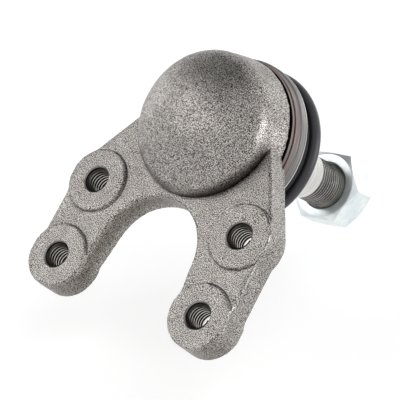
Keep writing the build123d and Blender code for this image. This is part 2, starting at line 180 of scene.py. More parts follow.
class Bench:
    """Modelling steps that every piece uses, made with Blender's own operators."""

    @staticmethod
    def clear() -> None:
        """Leaves edit mode with nothing selected."""
        if bpy.context.object and bpy.context.object.mode != "OBJECT":
            bpy.ops.object.mode_set(mode="OBJECT")
        bpy.ops.object.select_all(action="DESELECT")

    @staticmethod
    def pick(piece: bpy.types.Object) -> None:
        """Selects one piece alone and makes it active.

        Args:
            piece: The piece.
        """
        Bench.clear()
        piece.select_set(True)
        bpy.context.view_layer.objects.active = piece

    @staticmethod
    def face_outwards() -> None:
        """Turns every face of the mesh in edit mode outwards and leaves edit mode."""
        bpy.ops.mesh.select_all(action="SELECT")
        bpy.ops.mesh.normals_make_consistent(inside=False)
        bpy.ops.object.mode_set(mode="OBJECT")

    @staticmethod
    def name(label: str) -> bpy.types.Object:
        """Names the active object and its mesh.

        Args:
            label: The new name.

        Returns:
            The active object.
        """
        piece = bpy.context.object
        piece.name = label
        piece.data.name = label
        return piece

    @staticmethod
    def cylinder(label: str, radius: float, low: float, high: float, at: Point,
                 sides: int = 96) -> bpy.types.Object:
        """Adds an upright cylinder.

        Args:
            label: The object's name.
            radius: Radius in millimetres.
            low: Height of its lower face.
            high: Height of its upper face.
            at: Its centre in X and Y.
            sides: Number of sides.

        Returns:
            The cylinder, with its place in its mesh.
        """
        Bench.clear()
        bpy.ops.mesh.primitive_cylinder_add(
            vertices=sides, radius=radius * MM, depth=(high - low) * MM,
            location=(at[0] * MM, at[1] * MM, (low + high) / 2 * MM),
        )
        piece = Bench.name(label)
        bpy.ops.object.transform_apply(location=True, rotation=True, scale=True)
        return piece

    @staticmethod
    def wire(label: str, points: Sequence[Point], plane: Plane = Plane.SECTION) -> bpy.types.Object:
        """Draws a line of edges, point by point, starting from one vertex.

        Args:
            label: The object's name.
            points: The line's points in millimetres.
            plane: What the points are: a section's (radius, height) or an outline's (x, y).

        Returns:
            The object, left in edit mode with only its last vertex selected.
        """
        flat = plane is Plane.OUTLINE
        places = [Vector((a, b, 0) if flat else (a, 0, b)) * MM for a, b in points]
        Bench.clear()
        bpy.ops.mesh.primitive_plane_add(size=MM, location=(0, 0, 0))
        piece = Bench.name(label)
        bpy.ops.object.mode_set(mode="EDIT")
        bpy.ops.mesh.select_all(action="SELECT")
        bpy.ops.mesh.merge(type="CENTER")
        bpy.ops.transform.translate(value=places[0])
        for start, end in zip(places, places[1:]):
            bpy.ops.mesh.extrude_vertices_move(TRANSFORM_OT_translate={"value": end - start})
        return piece

    @staticmethod
    def turn(label: str, profile: Sequence[Point], steps: int = 160, angle: float = FULL_TURN,
             closed: bool = True, start: float = 0.0) -> bpy.types.Object:
        """Turns a profile of (radius, height) points round the Z axis.

        Args:
            label: The object's name.
            profile: The section's points in millimetres, in order.
            steps: Number of steps in the turn.
            angle: How far to turn, in radians.
            closed: Whether the profile's ends meet; otherwise they lie on the axis.
            start: Angle of the first section from +X, in radians.

        Returns:
            A closed turned shape round its own Z axis.
        """
        line = [*profile, profile[0]] if closed else list(profile)
        piece = Bench.wire(label, line)
        bpy.ops.mesh.select_all(action="SELECT")
        bpy.ops.mesh.remove_doubles(threshold=SECTION_WELD)
        if angle < FULL_TURN:
            bpy.ops.mesh.edge_face_add()
        bpy.ops.mesh.spin(steps=steps, angle=angle, center=(0, 0, 0), axis=(0, 0, 1))
        bpy.ops.mesh.select_all(action="SELECT")
        bpy.ops.mesh.remove_doubles(threshold=TURN_WELD)
        Bench.face_outwards()
        if start:
            Bench.place(piece, Matrix.Rotation(start, 4, "Z"))
        return piece

    @staticmethod
    def prism(label: str, outline: Sequence[Point], low: float, high: float) -> bpy.types.Object:
        """Extrudes a closed outline upwards.

        Args:
            label: The object's name.
            outline: The outline's points in millimetres.
            low: Height of the lower face.
            high: Height of the upper face.

        Returns:
            The closed prism.
        """
        piece = Bench.wire(label, [*outline, outline[0]], Plane.OUTLINE)
        bpy.ops.mesh.select_all(action="SELECT")
        bpy.ops.mesh.remove_doubles(threshold=SECTION_WELD)
        bpy.ops.mesh.edge_face_add()
        bpy.ops.transform.translate(value=(0, 0, low * MM))
        bpy.ops.mesh.extrude_region_move(
            TRANSFORM_OT_translate={"value": (0, 0, (high - low) * MM)}
        )
        Bench.face_outwards()
        return piece

    @staticmethod
    def coil(label: str, section: Sequence[Point], pitch: float, turns: float,
             steps: int) -> bpy.types.Object:
        """Winds a closed section into a thread's ridge.

        Args:
            label: The object's name.
            section: Its (radius, height) points at the ridge's lower end, in millimetres.
            pitch: Rise for each turn.
            turns: Number of turns.
            steps: Steps in each turn.

        Returns:
            A closed right-hand ridge round its own Z axis.
        """
        piece = Bench.wire(label, [*section, section[0]])
        bpy.ops.mesh.select_all(action="SELECT")
        bpy.ops.mesh.remove_doubles(threshold=SECTION_WELD)
        bpy.ops.object.mode_set(mode="OBJECT")
        screw = piece.modifiers.new("Winding", "SCREW")
        screw.axis = "Z"
        screw.angle = FULL_TURN * turns
        screw.screw_offset = pitch * turns * MM
        screw.steps = screw.render_steps = int(steps * turns)
        screw.use_merge_vertices = False
        Bench.apply(piece, screw)
        bpy.ops.object.mode_set(mode="EDIT")
        bpy.ops.mesh.select_all(action="DESELECT")
        bpy.ops.mesh.select_mode(type="EDGE")
        bpy.ops.mesh.select_non_manifold()
        bpy.ops.mesh.edge_face_add()
        bpy.ops.mesh.select_mode(type="VERT")
        Bench.face_outwards()
        return piece

    @staticmethod
    def apply(piece: bpy.types.Object, modifier: bpy.types.Modifier) -> None:
        """Applies one modifier of a piece."""
        Bench.pick(piece)
        bpy.ops.object.modifier_apply(modifier=modifier.name)

    @staticmethod
    def cut(piece: bpy.types.Object, tool: bpy.types.Object, how: Combine = Combine.CUT) -> None:
        """Combines a piece with a tool, which is used up.

        Args:
            piece: The piece that is kept.
            tool: The closed shape that cuts it, joins it or bounds it.
            how: Which of these the tool does.
        """
        boolean = piece.modifiers.new("Cut", "BOOLEAN")
        boolean.operation = how.value
        boolean.object = tool
        boolean.solver = "EXACT"
        Bench.apply(piece, boolean)
        bpy.data.objects.remove(tool, do_unlink=True)

    @staticmethod
    def join(label: str, pieces: Sequence[bpy.types.Object]) -> bpy.types.Object:
        """Joins pieces into one object without welding them.

        Args:
            label: The name of the result.
            pieces: The pieces, the first of which stays.

        Returns:
            The joined object.
        """
        Bench.clear()
        for piece in pieces:
            piece.select_set(True)
        bpy.context.view_layer.objects.active = pieces[0]
        bpy.ops.object.join()
        return Bench.name(label)

    @staticmethod
    def place(piece: bpy.types.Object, matrix: Matrix) -> None:
        """Moves a finished mesh to its place and leaves its object at the origin.

        Args:
            piece: The piece.
            matrix: Its place in the frame.
        """
        Bench.pick(piece)
        piece.matrix_world = matrix
        bpy.ops.object.transform_apply(location=True, rotation=True, scale=True)

    @staticmethod
    def upright(at: Point) -> Matrix:
        """Places a piece modelled round its own Z axis on an upright axis at (x, y)."""
        return Matrix.Translation((at[0] * MM, at[1] * MM, 0))

    @staticmethod
    def smooth(piece: bpy.types.Object, angle: float = 30.0) -> None:
        """Shades a piece smooth up to an edge angle in degrees."""
        Bench.pick(piece)
        bpy.ops.object.shade_smooth_by_angle(angle=math.radians(angle))

    @staticmethod
    def mark(piece: bpy.types.Object, index: int, matrix: Matrix,
             test: Callable[[Vector, Vector], bool]) -> None:
        """Gives a material slot to the faces that pass a test.

        Args:
            piece: The piece.
            index: Number of the material slot.
            matrix: The local axes that the test works in.
            test: Takes a face's centre in those axes, in millimetres, and its normal there.
        """
        back = matrix.inverted()
        turn = back.to_3x3()
        for face in piece.data.polygons:
            if test((back @ face.center) / MM, turn @ face.normal):
                face.material_index = index

    @staticmethod
    def ruffle(piece: bpy.types.Object, label: str, size: float, push: float) -> None:
        """Pushes a surface in and out by a cloud pattern.

        Args:
            piece: The piece.
            label: What the pattern stands for.
            size: Size of the clouds in millimetres.
            push: Difference between the highest and the lowest push, in millimetres.
        """
        texture = bpy.data.textures.new(label, "CLOUDS")
        texture.noise_scale = size * MM
        texture.noise_depth = 2
        displace = piece.modifiers.new(label, "DISPLACE")
        displace.texture = texture
        displace.texture_coords = "LOCAL"
        displace.strength = push * MM
        Bench.apply(piece, displace)

    @staticmethod
    def bevel(piece: bpy.types.Object, width: float, angle: float, segments: int = 3) -> None:
        """Rounds a piece's sharp edges.

        Args:
            piece: The piece.
            width: Width of the rounding in millimetres.
            angle: Smallest edge angle that is rounded, in degrees.
            segments: Steps in the rounding.
        """
        bevel = piece.modifiers.new("Rounding", "BEVEL")
        bevel.width = width * MM
        bevel.segments = segments
        bevel.limit_method = "ANGLE"
        bevel.angle_limit = math.radians(angle)
        Bench.apply(piece, bevel)


def arc(centre: Point, radius: float, start: float, end: float, steps: int) -> list[Point]:
    """Points of a circular arc in a section.

    Args:
        centre: The arc's centre in millimetres.
        radius: Its radius.
        start: First angle in degrees, from the section's first axis.
        end: Last angle in degrees.
        steps: Number of steps.

    Returns:
        The arc's points, both ends included.
    """
    turns = [math.radians(start + (end - start) * i / steps) for i in range(steps + 1)]
    return [(centre[0] + radius * math.cos(t), centre[1] + radius * math.sin(t)) for t in turns]


def rounded(points: Sequence[Point], radii: dict[int, float], steps: int = 6) -> list[Point]:
    """Rounds chosen corners of a closed or open section.

    Args:
        points: The section's corners.
        radii: Radius for each rounded corner, by its place in the list.
        steps: Steps in each rounding.

    Returns:
        The section with those corners replaced by arcs.
    """
    line: list[Point] = []
    for index, point in enumerate(points):
        if index not in radii:
            line.append(point)
            continue
        corner = Vector(point)
        before = (Vector(points[index - 1]) - corner).normalized()
        after = (Vector(points[(index + 1) % len(points)]) - corner).normalized()
        half = before.angle(after) / 2
        reach = radii[index] / math.tan(half)
        centre = corner + (before + after).normalized() * radii[index] / math.sin(half)
        first = corner + before * reach - centre
        last = corner + after * reach - centre
        sweep = first.angle_signed(last)
        for step in range(steps + 1):
            spoke = first.copy()
            spoke.rotate(Matrix.Rotation(-sweep * step / steps, 2))
            line.append(tuple(centre + spoke))
    return line


def tooth(root: float, crest: float, low: float, pitch: float,
          shares: tuple[float, float, float]) -> list[Point]:
    """Section of a thread's ridge.

    Args:
        root: Radius of the ridge's foot.
        crest: Radius of its crest.
        low: Height of its lower end.
        pitch: Rise for each turn.
        shares: Start and end of the crest and end of the foot, as shares of the pitch.

    Returns:
        The section's (radius, height) points.
    """
    first, last, end = (low + pitch * share for share in shares)
    return [(root, low), (crest, first), (crest, last), (root, end)]


# ---------------------------------------------------------------- finishes


RAMP = "ShaderNodeValToRGB"
WHITE = "FFFFFF"
BLACK = "000000"


def linear(code: str) -> tuple[float, float, float, float]:
    """Turns an sRGB hex code into Blender's linear colour."""
    parts = [int(code[i:i + 2], 16) / 255 for i in (0, 2, 4)]
    return (*(p / 12.92 if p <= 0.04045 else ((p + 0.055) / 1.055) ** 2.4 for p in parts), 1.0)


def stops(places: Sequence[float], *shades: str) -> list[tuple[float, tuple]]:
    """Pairs the places of a colour ramp, from 0 to 1, with sRGB hex shades."""
    return [(place, linear(shade)) for place, shade in zip(places, shades)]


def grey(level: float) -> tuple[float, float, float, float]:
    """A neutral colour of a linear level."""
    return (level, level, level, 1.0)


def per_metre(size: float) -> float:
    """Scale of a texture whose features are a size in millimetres."""
    return 1 / (size * MM)


def add_node(tree: bpy.types.NodeTree, kind: str, settings: dict | None = None,
             links: dict | None = None,
             stops: Sequence[tuple[float, tuple]] = ()) -> bpy.types.Node:
    """Adds a node with its settings and links.

    Args:
        tree: The node tree.
        kind: The node's type name, such as ShaderNodeTexNoise.
        settings: Values by property name or, for inputs, by socket name or place.
        links: Output sockets by the name or place of the input that they feed.
        stops: For a colour ramp, places from 0 to 1, each with its linear colour.

    Returns:
        The new node.
    """
    node = tree.nodes.new(kind)
    for key, value in (settings or {}).items():
        if isinstance(key, str) and hasattr(node, key):
            setattr(node, key, value)
        else:
            node.inputs[key].default_value = value
    for key, socket in (links or {}).items():
        tree.links.new(socket, node.inputs[key])
    for index, (place, colour) in enumerate(stops):
        elements = node.color_ramp.elements
        element = elements[index] if index < len(elements) else elements.new(place)
        element.position = place
        element.color = colour
    return node


@dataclass(frozen=True)
class Canvas:
    """A material under construction.

    Attributes:
        tree: The material's node tree.
        shader: Its Principled shader.
        coords: Object coordinates, in metres.
    """

    tree: bpy.types.NodeTree
    shader: bpy.types.Node
    coords: bpy.types.NodeSocket

    def set(self, **values: float) -> None:
        """Writes constants on the shader, with underscores for the spaces in a socket's name."""
        for name, value in values.items():
            self.shader.inputs[name.replace("_", " ")].default_value = value

    def feed(self, name: str, socket: bpy.types.NodeSocket) -> None:
        """Links a socket to one of the shader's inputs."""
        self.tree.links.new(socket, self.shader.inputs[name])


@dataclass(frozen=True)
class Finish:
    """A material: what the real one is and how its surface was made."""

    title: str
    slot: Slot

    def build(self) -> bpy.types.Material:
        """Makes the material with its shader and patterns.

        Returns:
            The new material.
        """
        material = bpy.data.materials.new(self.title)
        material.use_nodes = True
        tree = material.node_tree
        tree.nodes.clear()
        shader = add_node(tree, "ShaderNodeBsdfPrincipled")
        add_node(tree, "ShaderNodeOutputMaterial", links={"Surface": shader.outputs[0]})
        coords = add_node(tree, "ShaderNodeTexCoord").outputs["Object"]
        self.dress(Canvas(tree, shader, coords))
        return material

    def dress(self, work: Canvas) -> None:
        """Adds the finish's own nodes to a material under construction."""
        raise NotImplementedError

    def coat(self, piece: bpy.types.Object, *others: "Finish") -> None:
        """Builds the finish, and others for marked faces, and puts them on a piece.

        Args:
            piece: The piece.
            *others: The finishes of the faces marked 1, 2 and so on.
        """
        marks = [face.material_index for face in piece.data.polygons]
        piece.data.materials.clear()
        for finish in (self, *others):
            piece.data.materials.append(finish.build())
        if others:
            piece.data.polygons.foreach_set("material_index", marks)


@dataclass(frozen=True)
class Fade:
    """A ramp of a mask over one measure, level beyond both ends.

    Attributes:
        start: Where the ramp starts, in millimetres or as a part of a normal.
        end: Where it ends.
        first: The mask's value up to the start.
        last: Its value past the end.
    """

    start: float
    end: float
    first: float = 1.0
    last: float = 0.0


@dataclass(frozen=True)
class ShotBlastedForging(Finish):
    """Drop-forged steel cleaned by steel shot: a dull grey, dimpled, salt-and-pepper skin.

    The shot's pits are a tenth of a millimetre wide, and the grit is drawn three times as
    coarse, so that it shows.
    """

    title: str = "shot_blasted_forging"
    slot: Slot = Slot.FORGED_STEEL
    shade: str = "88837E"
    pit_shade: str = "0D0C0B"
    peak_shade: str = "D6D2CD"
    patch_shade: str = "ECEBEA"
    # Painted shade: the next four colours darken the inside corners, the cup's foot, the fork's
    # walls and the legs' ends.
    painted_crease_shade: str = "463933"
    cup_foot_painted_shade: str = "4A3630"
    fork_wall_painted_shade: str = "C9C4BE"
    leg_end_painted_shade: str = "CFCBC6"
    grit: float = 0.3
    grit_depth: float = 0.07
    dimple: float = 1.3
    dimple_depth: float = 0.06
    mottle: float = 7.0
    corner_reach: float = 3.2
    speckle_stops: tuple[float, ...] = (0.43, 0.50, 0.58)
    patch_stops: tuple[float, ...] = (0.35, 0.65)
    corner_stops: tuple[float, ...] = (0.38, 0.76)
    # Painted shade at the foot of the cup: above the plate, on the side of the legs, close to the
    # wall.
    foot_top: Fade = Fade(-0.6, 4.6)
    foot_bottom: Fade = Fade(-1.35, -1.15, 0.0, 1.0)
    foot_side: Fade = Fade(-20.0, 12.0, 0.3, 1.0)
    foot_front: Fade = Fade(46.0, 51.0)
    foot_reach: Fade = Fade(31.0, 36.5)
    foot_slope: Fade = Fade(0.45, 0.85)
    # Painted shade on the fork's walls: under the plate's top, fading downwards, facing the middle.
    fork_top: Fade = Fade(-3.2, -1.8)
    fork_bottom: Fade = Fade(-12.0, -6.5, 0.0, 1.0)
    fork_inward: Fade = Fade(-14.0, -4.0)
    # Painted shade on the legs' ends: under the bosses' edges, facing away from the cup.
    end_top: Fade = Fade(-2.2, -0.6)
    end_front: Fade = Fade(-18.0, -12.0)
    end_slope: Fade = Fade(-0.7, -0.25)

    def dress(self, work: Canvas) -> None:
        """Two grain sizes drive colour and bump; painted shade darkens the corners and some walls.

        Args:
            work: The material under construction.
        """
        tree = work.tree
        grain = add_node(tree, "ShaderNodeTexNoise", {
            "Scale": per_metre(self.grit), "Detail": 1.0, "Roughness": 0.6},
            {"Vector": work.coords})
        dents = add_node(tree, "ShaderNodeTexNoise", {
            "Scale": per_metre(self.dimple), "Detail": 3.0, "Roughness": 0.6},
            {"Vector": work.coords})
        clouds = add_node(tree, "ShaderNodeTexNoise", {
            "Scale": per_metre(self.mottle), "Detail": 3.0, "Roughness": 0.55},
            {"Vector": work.coords})
        # Dark pits and bright peaks.
        speckle = add_node(tree, RAMP, links={0: grain.outputs[0]}, stops=stops(
            self.speckle_stops, self.pit_shade, self.shade, self.peak_shade))
        patches = add_node(tree, RAMP, links={0: clouds.outputs[0]}, stops=stops(
            self.patch_stops, self.patch_shade, WHITE))
        # Painted shade: ambient occlusion darkens the inside corners towards brown.
        corner = add_node(tree, "ShaderNodeAmbientOcclusion", {
            "samples": 8, "Distance": self.corner_reach * MM})
        crease_shade_ramp = add_node(tree, RAMP, links={0: corner.outputs["AO"]}, stops=stops(
            self.corner_stops, self.painted_crease_shade, WHITE))
        colour = speckle.outputs[0]
        for layer in (patches, crease_shade_ramp):
            colour = add_node(tree, "ShaderNodeMix", {
                "data_type": "RGBA", "blend_type": "MULTIPLY", 0: 1.0},
                {6: colour, 7: layer.outputs[0]}).outputs[2]
        # Painted shade at the foot of the cup, and thinly on the walls of fork and legs' ends.
        for shade, mask in ((self.cup_foot_painted_shade, self.foot(work)),
                            (self.fork_wall_painted_shade, self.fork(work)),
                            (self.leg_end_painted_shade, self.ends(work))):
            colour = add_node(tree, "ShaderNodeMix", {
                "data_type": "RGBA", "blend_type": "MULTIPLY", 7: linear(shade)},
                {0: mask, 6: colour}).outputs[2]
        work.feed("Base Color", colour)
        coarse = add_node(tree, "ShaderNodeBump", {
            "Strength": 0.6, "Distance": self.dimple_depth * MM}, {"Height": dents.outputs[0]})
        fine = add_node(tree, "ShaderNodeBump", {
            "Strength": 1.0, "Distance": self.grit_depth * MM},
            {"Height": grain.outputs[0], "Normal": coarse.outputs[0]})
        work.feed("Normal", fine.outputs[0])
        work.set(Metallic=0.85, Roughness=0.34)

    def foot(self, work: Canvas) -> bpy.types.NodeSocket:
        """Masks the foot of the cup, where shade is painted.

        Args:
            work: The material under construction.

        Returns:
            A socket that runs from 0 on open skin to 1 in the painted shade.
        """
        across, along, height = self.place(work)
        slope = self.facing(work)[2]
        reach = add_node(work.tree, "ShaderNodeVectorMath", {
            "operation": "DISTANCE", 1: (0, AXIS.centre_y * MM, 0)},
            {0: work.coords}).outputs["Value"]
        return self.product(work, (
            (height, self.foot_top, MM), (height, self.foot_bottom, MM),
            (along, self.foot_front, MM), (across, self.foot_side, MM),
            (reach, self.foot_reach, MM), (slope, self.foot_slope, 1.0)))

    def fork(self, work: Canvas) -> bpy.types.NodeSocket:
        """Masks the upper walls of the fork, where shade is painted.

        Args:
            work: The material under construction.

        Returns:
            A socket that runs from 0 on open skin to 1 in the painted shade on the fork's walls.
        """
        height = self.place(work)[2]
        normal = add_node(work.tree, "ShaderNodeNewGeometry").outputs["True Normal"]
        inward = add_node(work.tree, "ShaderNodeVectorMath", {"operation": "DOT_PRODUCT"},
                          {0: work.coords, 1: normal}).outputs["Value"]
        return self.product(work, (
            (height, self.fork_top, MM), (height, self.fork_bottom, MM),
            (inward, self.fork_inward, MM)))

    def ends(self, work: Canvas) -> bpy.types.NodeSocket:
        """Masks the end walls of the legs, under the bosses' edges, where shade is painted.

        Args:
            work: The material under construction.

        Returns:
            A socket that runs from 0 on open skin to 1 in the painted shade on the end walls.
        """
        _, along, height = self.place(work)
        slope = self.facing(work)[1]
        return self.product(work, (
            (height, self.end_top, MM), (along, self.end_front, MM), (slope, self.end_slope, 1.0)))

    def place(self, work: Canvas) -> Sequence[bpy.types.NodeSocket]:
        """The three coordinates of the point that is shaded."""
        return add_node(work.tree, "ShaderNodeSeparateXYZ", links={0: work.coords}).outputs

    def facing(self, work: Canvas) -> Sequence[bpy.types.NodeSocket]:
        """The three parts of the true normal at the point that is shaded."""
        normal = add_node(work.tree, "ShaderNodeNewGeometry").outputs["True Normal"]
        return add_node(work.tree, "ShaderNodeSeparateXYZ", links={0: normal}).outputs

    def product(self, work: Canvas, limits: Sequence[tuple[bpy.types.NodeSocket, Fade, float]],
                ) -> bpy.types.NodeSocket:
        """Multiplies the ramps of several measures into one mask.

        Args:
            work: The material under construction.
            limits: For each, the measure's socket, its ramp and the unit of the ramp's ends.

        Returns:
            The mask's socket.
        """
        mask: bpy.types.NodeSocket | None = None
        for measure, fade, unit in limits:
            part = add_node(work.tree, "ShaderNodeMapRange", {
                1: fade.start * unit, 2: fade.end * unit, 3: fade.first, 4: fade.last},
                {0: measure}).outputs[0]
            mask = part if mask is None else add_node(
                work.tree, "ShaderNodeMath", {"operation": "MULTIPLY"},
                {0: mask, 1: part}).outputs[0]
        return mask


@dataclass(frozen=True)
class TurnedSteel(Finish):
    """Steel turned on a lathe: satin, with fine rings that follow the tool.

    The tool's feed is near a tenth of a millimetre, and the rings are drawn coarser to show.
    """

    title: str = "turned_steel"
    slot: Slot = Slot.TURNED_STEEL
    shade: str = "858484"
    line_shade: str = "5E5B59"
    feed_size: float = 0.35
    ring_stretch: float = 60.0
    ring_depth: float = 0.03
    roughness: float = 0.42
    stain_shade: str | None = None
    stain_size: float = 9.0
    ring_stops: tuple[float, ...] = (0.35, 0.62)
    stain_stops: tuple[float, ...] = (0.4, 0.6)

    def dress(self, work: Canvas) -> None:
        """Noise squeezed along the axis makes the tool's rings.

        Args:
            work: The material under construction.
        """
        tree = work.tree
        turned = add_node(tree, "ShaderNodeMapping", {
            "vector_type": "TEXTURE",
            "Location": (0, AXIS.centre_y * MM, 0),
            "Rotation": (math.radians(AXIS.lean), 0, 0),
            "Scale": (self.ring_stretch, self.ring_stretch, 1.0)}, {"Vector": work.coords})
        rings = add_node(tree, "ShaderNodeTexNoise", {
            "Scale": per_metre(self.feed_size), "Detail": 2.0, "Roughness": 0.6},
            {"Vector": turned.outputs[0]})
        colour = add_node(tree, RAMP, links={0: rings.outputs[0]}, stops=stops(
            self.ring_stops, self.line_shade, self.shade)).outputs[0]
        if self.stain_shade:
            # Slow blotches of heat tint and oil film over the rings.
            cloud = add_node(tree, "ShaderNodeTexNoise", {
                "Scale": per_metre(self.stain_size), "Detail": 2.0}, {"Vector": work.coords})
            mask = add_node(tree, RAMP, links={0: cloud.outputs[0]}, stops=stops(
                self.stain_stops, BLACK, WHITE))
            colour = add_node(tree, "ShaderNodeMix", {
                "data_type": "RGBA", "blend_type": "MIX", 7: linear(self.stain_shade)},
                {0: mask.outputs[0], 6: colour}).outputs[2]
        work.feed("Base Color", colour)
        bump = add_node(tree, "ShaderNodeBump", {
            "Strength": 0.5, "Distance": self.ring_depth * MM}, {"Height": rings.outputs[0]})
        work.feed("Normal", bump.outputs[0])
        work.set(Metallic=1.0, Roughness=self.roughness)


@dataclass(frozen=True)
class MouldedRubber(Finish):
    """Chloroprene moulded in a polished tool: near black, with a soft broad sheen."""

    title: str = "moulded_rubber"
    slot: Slot = Slot.BOOT_RUBBER
    shade: str = "1E1E23"
    bloom_shade: str = "2B2B31"
    painted_fold_tone: str = "505055"
    fold_reach: float = 6.0
    bloom_size: float = 7.0
    grain_size: float = 1.2
    grain_depth: float = 0.03
    roughness: float = 0.42
    bloom_stops: tuple[float, ...] = (0.35, 0.7)
    fold_stops: tuple[float, ...] = (0.62, 0.92)

    def dress(self, work: Canvas) -> None:
        """A faint bloom greys the outer skin; painted shade darkens the folds.

        Args:
            work: The material under construction.
        """
        tree = work.tree
        bloom = add_node(tree, "ShaderNodeTexNoise", {
            "Scale": per_metre(self.bloom_size), "Detail": 4.0, "Roughness": 0.6},
            {"Vector": work.coords})
        tint = add_node(tree, RAMP, links={0: bloom.outputs[0]}, stops=stops(
            self.bloom_stops, self.shade, self.bloom_shade))
        # Painted shade: ambient occlusion darkens the folds.
        fold = add_node(tree, "ShaderNodeAmbientOcclusion", {
            "samples": 8, "Distance": self.fold_reach * MM})
        fold_darkening = add_node(tree, RAMP, links={0: fold.outputs["AO"]}, stops=stops(
            self.fold_stops, self.painted_fold_tone, WHITE))
        darkened_bloom = add_node(tree, "ShaderNodeMix", {
            "data_type": "RGBA", "blend_type": "MULTIPLY", 0: 1.0},
            {6: tint.outputs[0], 7: fold_darkening.outputs[0]})
        work.feed("Base Color", darkened_bloom.outputs[2])
        skin = add_node(tree, "ShaderNodeTexNoise", {
            "Scale": per_metre(self.grain_size), "Detail": 2.0}, {"Vector": work.coords})
        bump = add_node(tree, "ShaderNodeBump", {
            "Strength": 0.25, "Distance": self.grain_depth * MM}, {"Height": skin.outputs[0]})
        work.feed("Normal", bump.outputs[0])
        work.set(Roughness=self.roughness, Sheen_Weight=0.2, Sheen_Roughness=0.4)


@dataclass(frozen=True)
class BrightZinc(Finish):
    """Cold-formed steel, electroplated in bright zinc: silver with a blue cast."""

    title: str = "bright_zinc_plate"
    slot: Slot = Slot.ZINC_PLATE
    shade: str = "EEF3F4"
    cast_shade: str = "D8E2E5"
    cast_size: float = 5.0
    mark_size: float = 0.9
    mark_depth: float = 0.03
    roughness: float = 0.3
    cast_stops: tuple[float, ...] = (0.35, 0.65)

    def dress(self, work: Canvas) -> None:
        """Slow clouds tint the plate; a fine bump leaves the forming marks.

        Args:
            work: The material under construction.
        """
        tree = work.tree
        clouds = add_node(tree, "ShaderNodeTexNoise", {
            "Scale": per_metre(self.cast_size), "Detail": 3.0}, {"Vector": work.coords})
        tint = add_node(tree, RAMP, links={0: clouds.outputs[0]}, stops=stops(
            self.cast_stops, self.cast_shade, self.shade))
        work.feed("Base Color", tint.outputs[0])
        marks = add_node(tree, "ShaderNodeTexNoise", {
            "Scale": per_metre(self.mark_size), "Detail": 3.0}, {"Vector": work.coords})
        bump = add_node(tree, "ShaderNodeBump", {
            "Strength": 0.35, "Distance": self.mark_depth * MM}, {"Height": marks.outputs[0]})
        work.feed("Normal", bump.outputs[0])
        work.set(Metallic=0.75, Roughness=self.roughness)


@dataclass(frozen=True)
class MouldedAcetal(Finish):
    """Injection-moulded acetal: off-white and waxy."""

    title: str = "moulded_acetal"
    slot: Slot = Slot.SEAT_PLASTIC
    shade: str = "E4E0D6"
    flow_shade: str = "D8D3C6"
    flow_size: float = 4.0
    roughness: float = 0.38
    flow_stops: tuple[float, ...] = (0.3, 0.7)

    def dress(self, work: Canvas) -> None:
        """A slight mottle from the melt's flow and a waxy gloss.

        Args:
            work: The material under construction.
        """
        cloud = add_node(work.tree, "ShaderNodeTexNoise", {
            "Scale": per_metre(self.flow_size)}, {"Vector": work.coords})
        tint = add_node(work.tree, RAMP, links={0: cloud.outputs[0]}, stops=stops(
            self.flow_stops, self.flow_shade, self.shade))
        work.feed("Base Color", tint.outputs[0])
        work.set(Roughness=self.roughness)


FORGING = ShotBlastedForging()
# Hole walls and thread flanks: painted shade in the holes, dark so that only the crests show light.
TAPPED_HOLE_SHADE = TurnedSteel(title="tapped_hole_painted_shade", slot=Slot.FORGED_STEEL, shade="4A4641",
                         line_shade="262320", feed_size=0.6, roughness=0.38)
# Painted highlight on the crest of each ridge in the holes.
HOLE_RIDGE_HIGHLIGHT = TurnedSteel(title="hole_ridge_painted_highlight", slot=Slot.FORGED_STEEL, shade="DEDBD6",
                           line_shade="BCB9B3", feed_size=0.6, roughness=0.3)
# Grey satin band with fine turning rings.
BAND_STEEL = TurnedSteel(shade="8A8888", line_shade="636160", roughness=0.36)
# Painted highlight along the band's lower edge.
BAND_EDGE_HIGHLIGHT = TurnedSteel(title="band_edge_painted_highlight", shade="E6E4E0", line_shade="B8B6B2", roughness=0.3)
# The band's upper half, faintly browned where it was rolled on.
TINTED_BAND = TurnedSteel(title="tinted_band", shade="8B8381", line_shade="5F5654", roughness=0.38,
                          stain_shade="80716E")
# Coiled flat wire, blued brown by its heat treatment.
WIRE_STEEL = TurnedSteel(title="oxidised_flat_wire", slot=Slot.OXIDISED_STEEL, shade="8F8684",
                         line_shade="5E5553", feed_size=0.3, stain_shade="7C6E6B")
# Painted shade in the gap over the ring and inside its seam: near black.
RING_GAP_SHADE = TurnedSteel(title="ring_gap_painted_shade", slot=Slot.OXIDISED_STEEL, shade="1E1B1A",
                        line_shade="141211", feed_size=0.6, roughness=0.5)
# Ball and taper, ground bright.
GROUND_STEEL = TurnedSteel(title="ground_steel", slot=Slot.GROUND_STEEL, shade="DEDDDA",
                           line_shade="C2C1BE", feed_size=0.25, roughness=0.25)
# Painted shade in the thread's roots: thin dark lines.
STUD_ROOT_SHADE = TurnedSteel(title="stud_root_painted_shade", slot=Slot.GROUND_STEEL, shade="1F1E1D",
                          line_shade="141312", feed_size=0.5, roughness=0.35)
# Rolled flanks: mid grey between the painted shade of the roots and the painted highlight of the
# crests.
THREAD_FLANK = TurnedSteel(title="thread_flank", slot=Slot.GROUND_STEEL, shade="72706D",
                           line_shade="53514E", feed_size=0.5, roughness=0.3)
# Rolled crests with painted highlight: the brightest lines of the thread.
STUD_RIDGE_HIGHLIGHT = TurnedSteel(title="stud_ridge_painted_highlight", slot=Slot.GROUND_STEEL, shade="E8E6E2",
                            line_shade="C6C4C0", feed_size=0.5, roughness=0.25)
# Spring steel with a film of oil.
SPRING_STEEL = TurnedSteel(title="oiled_spring_steel", slot=Slot.SPRING_STEEL, shade="8C8C8D",
                           line_shade="6C6C6E", feed_size=0.6, roughness=0.34)
# Pressed plate inside the cup.
PLATE_STEEL = TurnedSteel(title="pressed_steel", slot=Slot.PLATE_STEEL, shade="9A9A9A",
                          line_shade="7C7C7C", feed_size=0.8, roughness=0.4)
RUBBER = MouldedRubber()
ZINC = BrightZinc()
ACETAL = MouldedAcetal()


